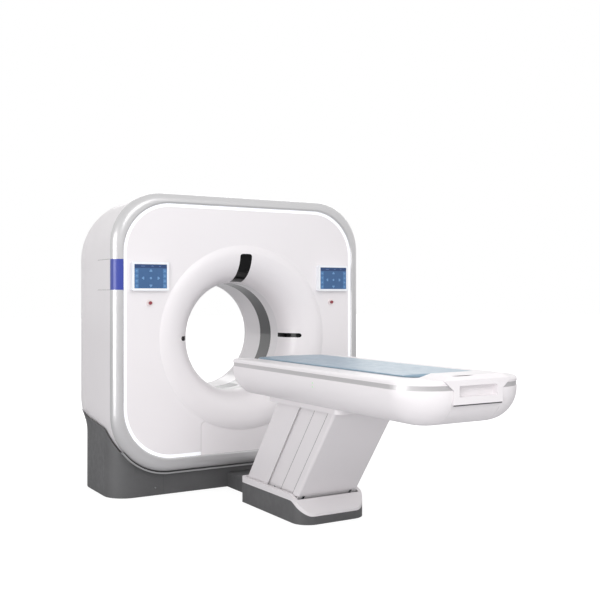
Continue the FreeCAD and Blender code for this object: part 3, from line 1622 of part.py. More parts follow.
def make_table():
    feature("table_shell", table_shell_shape())
    feature("lift_collar", lift_collar_shape())
    feature("side_trim", side_trim_shape())
    feature("table_deck", table_deck_shape())
    feature("end_cap", end_cap_shape())
    feature("table_frame", table_frame_shape())
    feature("cradle", cradle_shape())
    feature("pad", pad_shape())


# ---------------------------------------------------------------- build, check and export

make_housing()
for side_name, side_sign in (("left", -1), ("right", 1)):
    make_screen(side_name, side_sign)
    make_stop_button(side_name, side_sign)
make_stop_collars()
make_drive()
make_rotor()
make_base()
make_pedestal()
make_lift()
make_table()
doc.recompute()

for item in doc.Objects:
    state = item.State
    if "Invalid" in state or "Error" in state:
        raise RuntimeError("%s did not compute: %s" % (item.Label, state))
for item in NODES:
    if item.Shape.isNull() or not item.Shape.isValid() or item.Shape.Volume <= 0:
        raise RuntimeError("%s has no valid shape" % item.Label)

os.makedirs("parts", exist_ok=True)
for item in NODES:
    item.Shape.exportStep("parts/%s.step" % item.Label)
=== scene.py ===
"""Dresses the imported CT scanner: materials, screens, pad, small fittings, floor, light and camera."""

import json
import math

import bmesh
import bpy
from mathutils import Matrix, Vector

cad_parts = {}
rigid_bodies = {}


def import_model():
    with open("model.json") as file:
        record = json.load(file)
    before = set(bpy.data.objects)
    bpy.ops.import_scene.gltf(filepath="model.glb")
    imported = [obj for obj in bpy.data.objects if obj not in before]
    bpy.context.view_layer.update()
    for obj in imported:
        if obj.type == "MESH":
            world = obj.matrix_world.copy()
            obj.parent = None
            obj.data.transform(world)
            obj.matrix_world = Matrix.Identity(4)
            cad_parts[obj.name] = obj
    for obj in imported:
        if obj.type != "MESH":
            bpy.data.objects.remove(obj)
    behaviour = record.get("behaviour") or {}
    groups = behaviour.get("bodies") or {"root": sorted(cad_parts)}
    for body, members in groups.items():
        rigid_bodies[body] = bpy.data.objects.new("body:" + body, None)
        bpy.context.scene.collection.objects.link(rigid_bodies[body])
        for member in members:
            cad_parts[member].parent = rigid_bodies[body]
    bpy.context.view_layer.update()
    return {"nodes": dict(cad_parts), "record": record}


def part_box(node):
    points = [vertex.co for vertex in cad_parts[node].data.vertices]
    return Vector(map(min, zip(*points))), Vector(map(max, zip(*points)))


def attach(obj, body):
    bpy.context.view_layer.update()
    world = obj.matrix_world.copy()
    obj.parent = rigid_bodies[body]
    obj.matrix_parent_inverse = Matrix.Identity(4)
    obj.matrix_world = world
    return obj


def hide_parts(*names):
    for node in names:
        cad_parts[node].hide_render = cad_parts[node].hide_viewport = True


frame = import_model()

# Metres throughout. +Z is up, +Y runs along the bore away from the table, and left is toward -X.

SIDES = ((-1, "left"), (1, "right"))
WHITE = (1.0, 1.0, 1.0, 1.0)


# ---------------------------------------------------------------- colour and node helpers

SRGB_KNEE = 0.04045
SRGB_SLOPE = 12.92
SRGB_OFFSET = 0.055
SRGB_POWER = 2.4
NOISE_LOW = 0.3
NOISE_HIGH = 0.7


def linear(value):
    """One 8-bit screen value as linear light."""
    share = value / 255
    if share <= SRGB_KNEE:
        return share / SRGB_SLOPE
    return ((share + SRGB_OFFSET) / (1 + SRGB_OFFSET)) ** SRGB_POWER


def rgb(red, green, blue):
    """An 8-bit screen colour as the linear colour a shader takes."""
    return (linear(red), linear(green), linear(blue), 1.0)


def scaled(colour, share):
    """A linear colour made darker by a share under 1, or lighter by one above it."""
    return (*[value * share for value in colour[:3]], 1.0)


class Shader:
    """A node material with short calls for the nodes that several materials share."""

    def __init__(self, name, colour, roughness, metallic=0.0):
        self.material = bpy.data.materials.new(name)
        self.material.use_nodes = True
        self.nodes = self.material.node_tree.nodes
        self.links = self.material.node_tree.links
        self.surface = self.nodes["Principled BSDF"]
        self.surface.inputs["Base Color"].default_value = colour
        self.surface.inputs["Roughness"].default_value = roughness
        self.surface.inputs["Metallic"].default_value = metallic
        self.colour = colour
        self.height = None

    def set(self, **values):
        """Sets sockets of the surface by name, with _ for each space."""
        for name, value in values.items():
            self.surface.inputs[name.replace("_", " ")].default_value = value

    def place(self):
        return self.nodes.new("ShaderNodeTexCoord").outputs["Object"]

    def noise(self, scale, detail, stretch=None):
        texture = self.nodes.new("ShaderNodeTexNoise")
        texture.inputs["Scale"].default_value = scale
        texture.inputs["Detail"].default_value = detail
        place = self.place()
        if stretch:
            mapping = self.nodes.new("ShaderNodeMapping")
            mapping.inputs["Scale"].default_value = stretch
            self.links.new(place, mapping.inputs["Vector"])
            place = mapping.outputs["Vector"]
        self.links.new(place, texture.inputs["Vector"])
        return texture.outputs["Fac"]

    def spread(self, source, low, high):
        """Maps the middle of a noise onto a low and a high value."""
        ramp = self.nodes.new("ShaderNodeMapRange")
        ramp.inputs["From Min"].default_value = NOISE_LOW
        ramp.inputs["From Max"].default_value = NOISE_HIGH
        ramp.inputs["To Min"].default_value = low
        ramp.inputs["To Max"].default_value = high
        self.links.new(source, ramp.inputs["Value"])
        return ramp.outputs["Result"]

    def mottle(self, source, shade, share=1.0):
        """Blends the base colour toward a darker or lighter shade of itself by a noise."""
        mix = self.nodes.new("ShaderNodeMix")
        mix.data_type = "RGBA"
        mix.inputs["A"].default_value = self.colour
        mix.inputs["B"].default_value = scaled(self.colour, shade)
        self.links.new(self.spread(source, 0.0, share), mix.inputs["Factor"])
        self.links.new(mix.outputs["Result"], self.surface.inputs["Base Color"])

    def rough(self, source, low, high):
        self.links.new(self.spread(source, low, high), self.surface.inputs["Roughness"])

    def bump(self, source, depth, strength):
        """Adds a relief of a depth in metres on top of the ones before it."""
        bump = self.nodes.new("ShaderNodeBump")
        bump.inputs["Distance"].default_value = depth
        bump.inputs["Strength"].default_value = strength
        self.links.new(source, bump.inputs["Height"])
        if self.height:
            self.links.new(self.height, bump.inputs["Normal"])
        self.height = bump.outputs["Normal"]
        self.links.new(self.height, self.surface.inputs["Normal"])


# ---------------------------------------------------------------- materials

def moulded(name, colour, roughness, depth=0.00004, coat=0.0):
    """A moulded or lacquered cover: a fine grain, faint colour drift and rubbed patches."""
    shader = Shader(name, colour, roughness)
    shader.set(Coat_Weight=coat, Coat_Roughness=0.12)
    shader.mottle(shader.noise(scale=1.3, detail=2.0), shade=0.975)
    shader.rough(shader.noise(scale=5.0, detail=3.0), roughness - 0.04, roughness + 0.05)
    shader.bump(shader.noise(scale=900.0, detail=2.0), depth, strength=0.25)
    return shader.material


def textured(name, colour, roughness):
    """A dark moulding with a coarse grain, lighter patches and a faint waviness."""
    shader = Shader(name, colour, roughness)
    shader.mottle(shader.noise(scale=5.0, detail=6.0), shade=1.25, share=0.8)
    shader.rough(shader.noise(scale=30.0, detail=4.0), roughness - 0.06, roughness + 0.08)
    shader.bump(shader.noise(scale=1400.0, detail=2.0), depth=0.00009, strength=0.6)
    shader.bump(shader.noise(scale=6.0, detail=3.0), depth=0.0006, strength=0.15)
    return shader.material


def metal(name, colour, roughness, stretch=(1.0, 1.0, 1.0)):
    """Bare metal with a fine grain, which a stretch draws out into brushed or ground lines."""
    shader = Shader(name, colour, roughness, metallic=1.0)
    lines = shader.noise(scale=420.0, detail=4.0, stretch=stretch)
    shader.mottle(lines, shade=0.86, share=0.7)
    shader.rough(lines, roughness - 0.07, roughness + 0.1)
    shader.bump(lines, depth=0.00003, strength=0.4)
    return shader.material


def brushed_trim(name, colour, roughness):
    """Satin aluminium strip with fine lines along the table."""
    shader = Shader(name, colour, roughness, metallic=0.55)
    lines = shader.noise(scale=300.0, detail=3.0, stretch=(8.0, 0.6, 8.0))
    shader.mottle(lines, shade=0.92, share=0.6)
    shader.rough(lines, roughness - 0.05, roughness + 0.07)
    shader.bump(lines, depth=0.00002, strength=0.3)
    return shader.material


def painted_metal(name, colour, roughness):
    """Powder coat over metal, with orange peel."""
    shader = Shader(name, colour, roughness)
    shader.mottle(shader.noise(scale=4.0, detail=5.0), shade=0.9)
    shader.bump(shader.noise(scale=700.0, detail=2.0), depth=0.00008, strength=0.5)
    return shader.material


def lacquered(name, colour, roughness):
    """Silver lacquer: a part metallic base under a thick clear coat, with soft drifts in its tone."""
    shader = Shader(name, colour, roughness, metallic=0.4)
    shader.set(Coat_Weight=1.0, Coat_Roughness=0.16)
    shader.mottle(shader.noise(scale=2.2, detail=2.0), shade=0.985)
    shader.rough(shader.noise(scale=3.0, detail=2.0), roughness, roughness + 0.01)
    return shader.material


def lit_diffuser(name):
    """The white strip that glows round the gantry's front."""
    shader = Shader(name, rgb(250, 251, 255), roughness=0.35)
    shader.set(Emission_Color=rgb(250, 252, 255), Emission_Strength=0.2)
    shader.bump(shader.noise(scale=600.0, detail=2.0), depth=0.00004, strength=0.3)
    return shader.material


def polished(name, colour, roughness, coat, specular=0.5):
    """A polished dark window or glass."""
    shader = Shader(name, colour, roughness)
    shader.set(Coat_Weight=coat, Coat_Roughness=0.05, Specular_IOR_Level=specular)
    shader.mottle(shader.noise(scale=3.0, detail=3.0), shade=0.8)
    shader.rough(shader.noise(scale=12.0, detail=4.0), roughness, roughness + 0.05)
    return shader.material


def coated_fabric(name, colour):
    """Coated cloth over foam: a fine weave under the coat, soft creases and a slight sheen."""
    shader = Shader(name, colour, roughness=0.34)
    shader.set(Coat_Weight=0.12, Coat_Roughness=0.22, Sheen_Weight=0.05)
    shader.mottle(shader.noise(scale=6.0, detail=5.0), shade=0.9)
    shader.rough(shader.noise(scale=18.0, detail=4.0), 0.28, 0.42)
    weave = shader.nodes.new("ShaderNodeTexWave")
    weave.inputs["Scale"].default_value = 420.0
    shader.links.new(shader.place(), weave.inputs["Vector"])
    shader.bump(weave.outputs["Fac"], depth=0.00004, strength=0.5)
    shader.bump(shader.noise(scale=14.0, detail=4.0), depth=0.0009, strength=0.35)
    return shader.material


def glow(name, colour, strength, roughness=0.2):
    """A part of a lit display or a signal lamp."""
    shader = Shader(name, colour, roughness)
    shader.set(Emission_Color=colour, Emission_Strength=strength)
    shader.mottle(shader.noise(scale=40.0, detail=2.0), shade=0.93)
    return shader.material


def make_materials():
    """One material for each slot of the record."""
    return {
        "white_cover": moulded("white_cover", rgb(235, 231, 233), 0.36, coat=0.15),
        "bezel_silver": lacquered("bezel_silver", rgb(197, 196, 197), 0.33),
        "ring_light": lit_diffuser("ring_light"),
        "side_blue": moulded("side_blue", rgb(42, 60, 157), 0.34, coat=0.4),
        "dark_window": polished("dark_window", rgb(3, 3, 4), 0.10, coat=0.1, specular=0.2),
        "bore_liner": moulded("bore_liner", rgb(232, 229, 231), 0.36, coat=0.7),
        "scan_window": polished("scan_window", rgb(50, 49, 51), 0.30, coat=0.8),
        "screen_case": moulded("screen_case", rgb(240, 242, 246), 0.34, coat=0.3),
        "screen_face": glow("screen_face", rgb(58, 94, 138), strength=0.10, roughness=0.22),
        "button_collar": moulded("button_collar", rgb(236, 226, 226), 0.34),
        "button_red": moulded("button_red", rgb(142, 50, 62), 0.34, coat=0.3),
        "base_grey": textured("base_grey", rgb(83, 83, 84), 0.50),
        "lip_grey": moulded("lip_grey", rgb(150, 150, 151), 0.42),
        "frame_paint": painted_metal("frame_paint", rgb(170, 173, 178), 0.45),
        "bearing_steel": metal("bearing_steel", rgb(195, 196, 198), 0.22),
        "drum_metal": metal("drum_metal", rgb(200, 202, 205), 0.32, stretch=(1.0, 8.0, 1.0)),
        "tube_paint": painted_metal("tube_paint", rgb(214, 216, 218), 0.38),
        "detector_metal": metal("detector_metal", rgb(140, 142, 146), 0.38),
        "module_paint": painted_metal("module_paint", rgb(92, 98, 108), 0.48),
        "weight_iron": painted_metal("weight_iron", rgb(80, 80, 82), 0.55),
        "slip_brass": metal("slip_brass", rgb(208, 168, 96), 0.25, stretch=(1.0, 12.0, 1.0)),
        "belt_rubber": textured("belt_rubber", rgb(34, 34, 35), 0.62),
        "motor_paint": painted_metal("motor_paint", rgb(70, 75, 82), 0.46),
        "column_cover": moulded("column_cover", rgb(227, 223, 225), 0.36, depth=0.00002, coat=0.12),
        "skirt_grey": textured("skirt_grey", rgb(85, 85, 86), 0.50),
        "trim_metal": brushed_trim("trim_metal", rgb(200, 198, 199), 0.34),
        "table_white": moulded("table_white", rgb(234, 230, 232), 0.36, depth=0.00002, coat=0.2),
        "cradle_board": moulded("cradle_board", rgb(222, 224, 227), 0.34, coat=0.2),
        "pad_fabric": coated_fabric("pad_fabric", rgb(136, 160, 178)),
    }


def dress_nodes(materials):
    """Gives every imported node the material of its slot."""
    for row in frame["record"]["subparts"]:
        node = frame["nodes"][row["node"]]
        node.data.materials.clear()
        node.data.materials.append(materials[row["material_slot"]])


# ---------------------------------------------------------------- mesh helpers

CORNER_STEPS = 6

# Rings of a tile's rim: how far it is drawn in and how high it stands, in shares of the tile's depth.
TILE_RIM = ((0.0, 0.0), (0.0, 0.6), (0.4, 1.0))

# Rings of a round fitting, in shares of its radius and of its depth.
DISC_PROFILE = ((1.0, 0.0), (1.0, 0.6), (0.86, 1.0), (0.3, 1.05))


def piece(name, mesh, material, body, smooth=True):
    """Makes an object of a mesh and lets it ride on a body."""
    thing = bpy.data.objects.new(name, mesh)
    bpy.context.scene.collection.objects.link(thing)
    mesh.materials.append(material)
    if smooth:
        for face in mesh.polygons:
            face.use_smooth = True
    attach(thing, body)
    return thing


def mesh_from(name, shape):
    mesh = bpy.data.meshes.new(name)
    bmesh.ops.recalc_face_normals(shape, faces=shape.faces)
    shape.to_mesh(mesh)
    shape.free()
    return mesh


def rounded_loop(width, height, radius):
    """Points of a rounded rectangle about the origin, as (across, up)."""
    points = []
    for right, up, start in ((1, 1, 0), (-1, 1, 90), (-1, -1, 180), (1, -1, 270)):
        centre_x = right * (width / 2 - radius)
        centre_y = up * (height / 2 - radius)
        for step in range(CORNER_STEPS + 1):
            angle = math.radians(start + 90 * step / CORNER_STEPS)
            points.append((centre_x + radius * math.cos(angle), centre_y + radius * math.sin(angle)))
    return points


def close_rings(shape, rings):
    """Joins rings of as many points each with side faces, and closes both ends."""
    count = len(rings[0])
    for low, high in zip(rings, rings[1:]):
        for index in range(count):
            following = (index + 1) % count
            shape.faces.new((low[index], low[following], high[following], high[index]))
    shape.faces.new(rings[-1])
    shape.faces.new(list(reversed(rings[0])))


def tile_mesh(name, points, spot, depth):
    """A flat tile with a bevelled rim that faces -Y: points are (across, up) about a spot."""
    shape = bmesh.new()
    rings = []
    for inset, lift in TILE_RIM:
        ring = []
        for across, up in points:
            scale = 1 - inset * depth / math.hypot(across, up)
            ring.append(shape.verts.new(spot + Vector((across * scale, -lift * depth, up * scale))))
        rings.append(ring)
    close_rings(shape, rings)
    return mesh_from(name, shape)


def disc_mesh(name, centre, facing, radius, depth, steps):
    """A round fitting with a softened rim, standing on a surface."""
    shape = bmesh.new()
    turn = facing.to_track_quat("Z", "Y").to_matrix().to_4x4()
    rings = []
    for reach, lift in DISC_PROFILE:
        ring = []
        for step in range(steps):
            angle = 2 * math.pi * step / steps
            across = radius * reach
            spot = Vector((across * math.cos(angle), across * math.sin(angle), depth * lift))
            ring.append(shape.verts.new(centre + turn @ spot))
        rings.append(ring)
    close_rings(shape, rings)
    return mesh_from(name, shape)


def prism_mesh(name, outline, depth):
    """A flat strip: an outline of points in space, thickened by a vector."""
    shape = bmesh.new()
    near = [shape.verts.new(point) for point in outline]
    far = [shape.verts.new(point + depth) for point in outline]
    close_rings(shape, (near, far))
    return mesh_from(name, shape)


def upright_strip(name, foot, head, depth):
    """An upright rectangle between two opposite corners, thickened by a vector."""
    outline = (foot, Vector((head.x, head.y, foot.z)), head, Vector((foot.x, foot.y, head.z)))
    return prism_mesh(name, outline, depth)


# ---------------------------------------------------------------- screens

SCREEN_INK = 0.0004
TILE_LIFT = 0.0002
TILE_CORNER = 0.001

# A display's layout. The widths of header, marks and keys and the arrows' reach are shares of its
# width; the header's height and the arrows' rise are shares of its height. A header mark's height is
# a share of the header's, and a key mark's sides are shares of the key's width. The rest is metres.
HEADER_WIDTH = 0.985
HEADER_HEIGHT = 0.15
HEADER_INSET = 0.001
HEADER_MARKS = ((-0.24, 0.12), (0.05, 0.07), (0.28, 0.06))
HEADER_MARK_HEIGHT = 0.28
KEY_ROWS = 4
KEY_WIDTH = 0.115
KEY_CORNER = 0.002
KEY_MARGIN = 0.002
KEY_TRIM = 0.004
KEY_GAP = 0.003
KEY_MARK_WIDTH = 0.45
KEY_MARK_HEIGHT = 0.3
ARROW_REACH = 0.235
ARROW_RISE = 0.31
ARROW_SIZE = 0.019
ARROW_HEAD = ((-0.5, -0.35), (0.5, -0.35), (0.5, -0.05), (0.0, 0.55), (-0.5, -0.05))
HOME_SIZE = 0.014
HOME_CORNER = 0.005


def arrow_points(turn):
    """A blunt arrow head that points up before it is turned."""
    angle = math.radians(turn)
    return [(ARROW_SIZE * (a * math.cos(angle) - b * math.sin(angle)),
             ARROW_SIZE * (a * math.sin(angle) + b * math.cos(angle))) for a, b in ARROW_HEAD]


class Display:
    """The lit layout on one display: a header, two columns of keys, and four arrows round a home key."""

    def __init__(self, side, inks):
        node = side + "_screen_glass"
        low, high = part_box(node)
        self.side = side
        self.inks = inks
        self.width = high.x - low.x
        self.height = high.z - low.z
        self.header_height = self.height * HEADER_HEIGHT
        self.centre = Vector(((low.x + high.x) / 2, low.y - TILE_LIFT / 2, (low.z + high.z) / 2))

    def tile(self, name, points, across, up, ink, lift=0):
        spot = self.centre + Vector((across, -lift * TILE_LIFT, up))
        mesh = tile_mesh(name, points, spot, SCREEN_INK)
        piece(self.side + "_" + name, mesh, self.inks[ink], "gantry", smooth=False)

    def draw_header(self):
        up = self.height / 2 - self.header_height / 2 - HEADER_INSET
        bar = rounded_loop(self.width * HEADER_WIDTH, self.header_height, TILE_CORNER)
        self.tile("header", bar, 0, up, "navy")
        mark_height = self.header_height * HEADER_MARK_HEIGHT
        for index, (across, span) in enumerate(HEADER_MARKS):
            mark = rounded_loop(self.width * span, mark_height, TILE_CORNER)
            self.tile("header_mark_%d" % index, mark, across * self.width, up, "haze", lift=2)

    def draw_keys(self):
        column = self.width * KEY_WIDTH
        top = self.height / 2 - self.header_height - KEY_TRIM
        key_height = (self.height - self.header_height) / KEY_ROWS - KEY_TRIM
        key = rounded_loop(column, key_height, KEY_CORNER)
        mark = rounded_loop(column * KEY_MARK_WIDTH, column * KEY_MARK_HEIGHT, KEY_CORNER)
        for sign, word in SIDES:
            across = sign * (self.width / 2 - column / 2 - KEY_MARGIN)
            for row in range(KEY_ROWS):
                up = top - (row + 0.5) * (key_height + KEY_GAP)
                self.tile("%s_key_%d" % (word, row), key, across, up, "key")
                self.tile("%s_key_mark_%d" % (word, row), mark, across, up, "pale", lift=2)

    def draw_arrows(self):
        reach = self.width * ARROW_REACH
        rise = self.height * ARROW_RISE
        middle = -self.header_height / 2
        for name, across, up, turn in (("up", 0, rise, 0), ("down", 0, -rise, 180),
                                       ("in", -reach, 0, 90), ("out", reach, 0, -90)):
            self.tile("arrow_" + name, arrow_points(turn), across, middle + up, "pale", lift=1)
        home = rounded_loop(HOME_SIZE, HOME_SIZE, HOME_CORNER)
        self.tile("arrow_home", home, 0, middle, "pale", lift=1)


def make_displays():
    inks = {
        "navy": glow("screen_navy", rgb(40, 66, 110), strength=0.08, roughness=0.25),
        "key": glow("screen_key", rgb(76, 118, 164), strength=0.12, roughness=0.25),
        "pale": glow("screen_pale", rgb(100, 140, 184), strength=0.16, roughness=0.25),
        "haze": glow("screen_haze", rgb(72, 98, 144), strength=0.10, roughness=0.25),
    }
    for _, side in SIDES:
        display = Display(side, inks)
        display.draw_header()
        display.draw_keys()
        display.draw_arrows()


# ---------------------------------------------------------------- pad

PAD_CELL = 0.012
PAD_COLUMNS = 38
PAD_CROWDING = 1.5
PAD_WELD = 0.00005
PAD_STANDS = 0.010
PAD_FOOT_GAP = 0.040
PAD_SIDE_GAP = 0.0015
PAD_TAPER = 0.035
PAD_NOSE_HALF = 0.130
PAD_THICK = 0.009
PAD_BELOW_RIM = 0.45
PAD_DISH = 0.012
PAD_CROWN = 0.013
PAD_ROLL = 0.016
CHANNEL_PLACES = (0.18, 0.80)
CHANNEL_DEPTH = 0.0025
CHANNEL_WIDTH = 0.005


def pad_half_width(y, low, high):
    """Half the pad's width at one place along it: straight, then tapering at the head."""
    full = (high.x - low.x) / 2
    share = max(0.0, (y - high.y + PAD_TAPER) / PAD_TAPER)
    return full - (full - PAD_NOSE_HALF) * share


def channel_depth(y, low, high):
    """How deep the welded channels across the pad are at one place along it."""
    depth = 0.0
    for share in CHANNEL_PLACES:
        place = low.y + (high.y - low.y) * share
        depth += CHANNEL_DEPTH * math.exp(-((y - place) / CHANNEL_WIDTH) ** 2)
    return depth


def pad_levels(x, y, edge, low, high):
    """The heights of the pad's top and underside at one point, a distance in from its edge."""
    bow = 1 - (2 * x / (high.x - low.x)) ** 2
    cradle_hollow = high.z - PAD_STANDS - PAD_DISH * bow
    rim = cradle_hollow + PAD_THICK * PAD_BELOW_RIM
    rise = min(1.0, max(0.0, edge) / PAD_ROLL)
    fullness = math.sqrt(1 - (1 - rise) ** 2)
    top = PAD_THICK * (1 - PAD_BELOW_RIM) + bow * PAD_CROWN - channel_depth(y, low, high)
    return rim + top * fullness, rim - PAD_THICK * PAD_BELOW_RIM * fullness


def make_pad(material):
    """The mattress: crowned, sides drawn in, a welded rim and shallow cross channels."""
    low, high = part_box("pad")
    foot = low.y + PAD_FOOT_GAP
    rows = int((high.y - foot) / PAD_CELL)
    shape = bmesh.new()
    for face in (0, 1):
        grid = []
        for row in range(rows + 1):
            y = foot + (high.y - foot) * row / rows
            width = pad_half_width(y, low, high) - PAD_SIDE_GAP
            end = min(y - foot, high.y - y)
            line = []
            for column in range(PAD_COLUMNS + 1):
                share = column / PAD_COLUMNS * 2 - 1
                x = width * math.copysign(1 - (1 - abs(share)) ** PAD_CROWDING, share)
                levels = pad_levels(x, y, min(width - abs(x), end), low, high)
                line.append(shape.verts.new((x, y, levels[face])))
            grid.append(line)
        for row in range(rows):
            for column in range(PAD_COLUMNS):
                shape.faces.new((grid[row][column], grid[row][column + 1],
                                 grid[row + 1][column + 1], grid[row + 1][column]))
    bmesh.ops.remove_doubles(shape, verts=shape.verts, dist=PAD_WELD)
    pad = piece("pad_cover", mesh_from("pad_cover", shape), material, "cradle_body")
    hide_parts("pad")


# ---------------------------------------------------------------- signal lamps

LAMP_Y = -1.816
LAMP_TOP = 0.8147
LAMP_PITCH = 0.0202
LAMP_RADIUS = 0.0028
LAMP_DEPTH = 0.0012
LAMP_STEPS = 16


def make_signal_lamps():
    """Two small green lamps one above the other on each side of the table."""
    green = glow("lamp_green", rgb(132, 200, 120), strength=0.7)
    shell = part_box("table_shell")
    for (sign, side), corner in zip(SIDES, shell):
        for index in range(2):
            centre = Vector((corner.x, LAMP_Y, LAMP_TOP - LAMP_PITCH * index))
            mesh = disc_mesh("lamp", centre, Vector((sign, 0, 0)), LAMP_RADIUS, LAMP_DEPTH, LAMP_STEPS)
            piece("%s_lamp_%d" % (side, index), mesh, green, "table")


# ---------------------------------------------------------------- column seals with painted step shade, and apron

# How far the links lean at rest, and how much higher their upper pins are than the lower ones.
LEAN = math.radians(36.8)
LIFT_RISE = 0.500

SEAL_WIDTH = 0.0022
SEAL_DEPTH = 0.0006
SEAL_PAST_PIVOT = 0.004

# Each strip: half the width of the cover that it lies on, where it starts beside the line of its
# link, the joint at that link's foot, and the body that it rides on. Its grey also paints the steps'
# shade.
COLUMN_SEALS_AND_STEP_SHADE = (
    ("foot_seal", 0.200, 0.024 - SEAL_WIDTH, "front_link_swing", "front_link"),
    ("fore_seal", 0.191, 0.0905 - SEAL_WIDTH, "fore_slat_swing", "fore_slats"),
    ("rear_seal", 0.1955, -0.181, "table_lift", "rear_link"),
)

# The apron's faces beside the line of the front link, its lower and upper edges, and where each of
# its lips starts and ends in X, clear of the pivot lugs.
APRON_FACES = (-0.0248, -0.0212)
APRON_LEVELS = (0.1225, 0.1446)
APRON_SPANS = (("middle", -0.146, 0.146), ("left", -0.1985, -0.168), ("right", 0.168, 0.1985))


def pivot_of(name):
    """Where a joint of the frame turns."""
    for joint in frame["record"]["behaviour"]["joints"]:
        if joint["name"] == name:
            return Vector(joint["pos_m"])


def leaning_outline(x, pivot, start, end, low, high):
    """A leaning band between two lines beside a link, level at its ends."""
    outline = []
    for beside, level in ((start, low), (end, low), (end, high), (start, high)):
        along = (level - pivot.z - beside * math.sin(LEAN)) / math.cos(LEAN)
        outline.append(Vector((x, beside * math.cos(LEAN) - along * math.sin(LEAN) + pivot.y, level)))
    return outline


def make_column_seals_and_step_shade(material):
    """Soft seals along the sliding edges of the column's side covers; their grey is also painted shade
    for the covers' steps.
    """
    for name, half_width, start, joint, body in COLUMN_SEALS_AND_STEP_SHADE:
        pivot = pivot_of(joint)
        low = pivot.z - SEAL_PAST_PIVOT
        high = pivot.z + LIFT_RISE + SEAL_PAST_PIVOT
        for sign, side in SIDES:
            outline = leaning_outline(sign * half_width, pivot, start, start + SEAL_WIDTH, low, high)
            mesh = prism_mesh(name, outline, Vector((sign * SEAL_DEPTH, 0, 0)))
            piece("%s_%s" % (side, name), mesh, material, body, smooth=False)


def make_column_apron(material):
    """The lips that carry on the column's foot face down into the pedestal, beside the pivot lugs."""
    pivot = pivot_of("front_link_swing")
    for word, start, end in APRON_SPANS:
        outline = leaning_outline(start, pivot, *APRON_FACES, *APRON_LEVELS)
        mesh = prism_mesh("column_apron", outline, Vector((end - start, 0, 0)))
        piece(word + "_apron", mesh, material, "front_link", smooth=False)


# ---------------------------------------------------------------- joint lines, painted shadow lines and fasteners

CAP_SEAL_INSET = 0.060
CAP_SEAL_BACK = 0.0035
CAP_SEAL_HEIGHT = 0.006
CAP_SEAL_DEPTH = 0.0012
BAND_LEVELS = (1.289, 1.477)
BAND_LINE_REACH = 0.230
BAND_LINE_HALF = 0.0008
BAND_LINE_INSET = 0.0004
BAND_LINE_DEPTH = 0.0012
BASE_SEAM_X = 0.556
BASE_SEAM_FOOT = 0.004
BASE_SEAM_TOP = 0.150
BASE_SEAM_HALF = 0.001
BASE_SEAM_DEPTH = 0.0004
FASTENER_X = 0.610
FASTENER_LEVEL = 0.0467
FASTENER_RADIUS = 0.006
FASTENER_DEPTH = 0.002
FASTENER_STEPS = 24


def make_cap_seal(material):
    """The dark joint under the end cap, across the table's foot."""
    low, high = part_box("end_cap")
    y = low.y + CAP_SEAL_BACK
    mesh = upright_strip("cap_seal", Vector((low.x + CAP_SEAL_INSET, y, low.z - CAP_SEAL_HEIGHT)),
                         Vector((high.x - CAP_SEAL_INSET, y, low.z)), Vector((0, CAP_SEAL_DEPTH, 0)))
    piece("cap_seal", mesh, material, "table", smooth=False)


def make_band_lines(material):
    """Painted shadow lines: dark strips that run back along the side cover from the coloured band."""
    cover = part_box("side_cover")[0]
    x = cover.x + BAND_LINE_INSET
    for index, level in enumerate(BAND_LEVELS):
        mesh = upright_strip("band_line", Vector((x, cover.y, level - BAND_LINE_HALF)),
                             Vector((x, cover.y + BAND_LINE_REACH, level + BAND_LINE_HALF)),
                             Vector((BAND_LINE_DEPTH, 0, 0)))
        piece("band_line_%d" % index, mesh, material, "gantry", smooth=False)


def make_base_details(seam, screw):
    """A joint line and a fastener on each half of the base's front."""
    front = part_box("gantry_base")[0].y
    for sign, side in SIDES:
        x = sign * BASE_SEAM_X
        mesh = upright_strip("base_seam", Vector((x - BASE_SEAM_HALF, front, BASE_SEAM_FOOT)),
                             Vector((x + BASE_SEAM_HALF, front, BASE_SEAM_TOP)),
                             Vector((0, -BASE_SEAM_DEPTH, 0)))
        piece(side + "_base_seam", mesh, seam, "gantry", smooth=False)
        centre = Vector((sign * FASTENER_X, front, FASTENER_LEVEL))
        mesh = disc_mesh("base_fastener", centre, Vector((0, -1, 0)), FASTENER_RADIUS, FASTENER_DEPTH,
                         FASTENER_STEPS)
        piece(side + "_base_fastener", mesh, screw, "gantry")


# ---------------------------------------------------------------- floor

FLOOR_HALF = 40.0
FLOOR_DROP = 0.0005
FLOOR_COLOUR = rgb(206, 206, 208)
FLOOR_ROUGHNESS = 0.7
FLOOR_WHITE = 1.28
SHADOW_CENTRE = (-0.1, -0.8, 0.0)
SHADOW_SHARE = 0.30
SHADOW_REACH = 1.3
SHADOW_END = 3.2


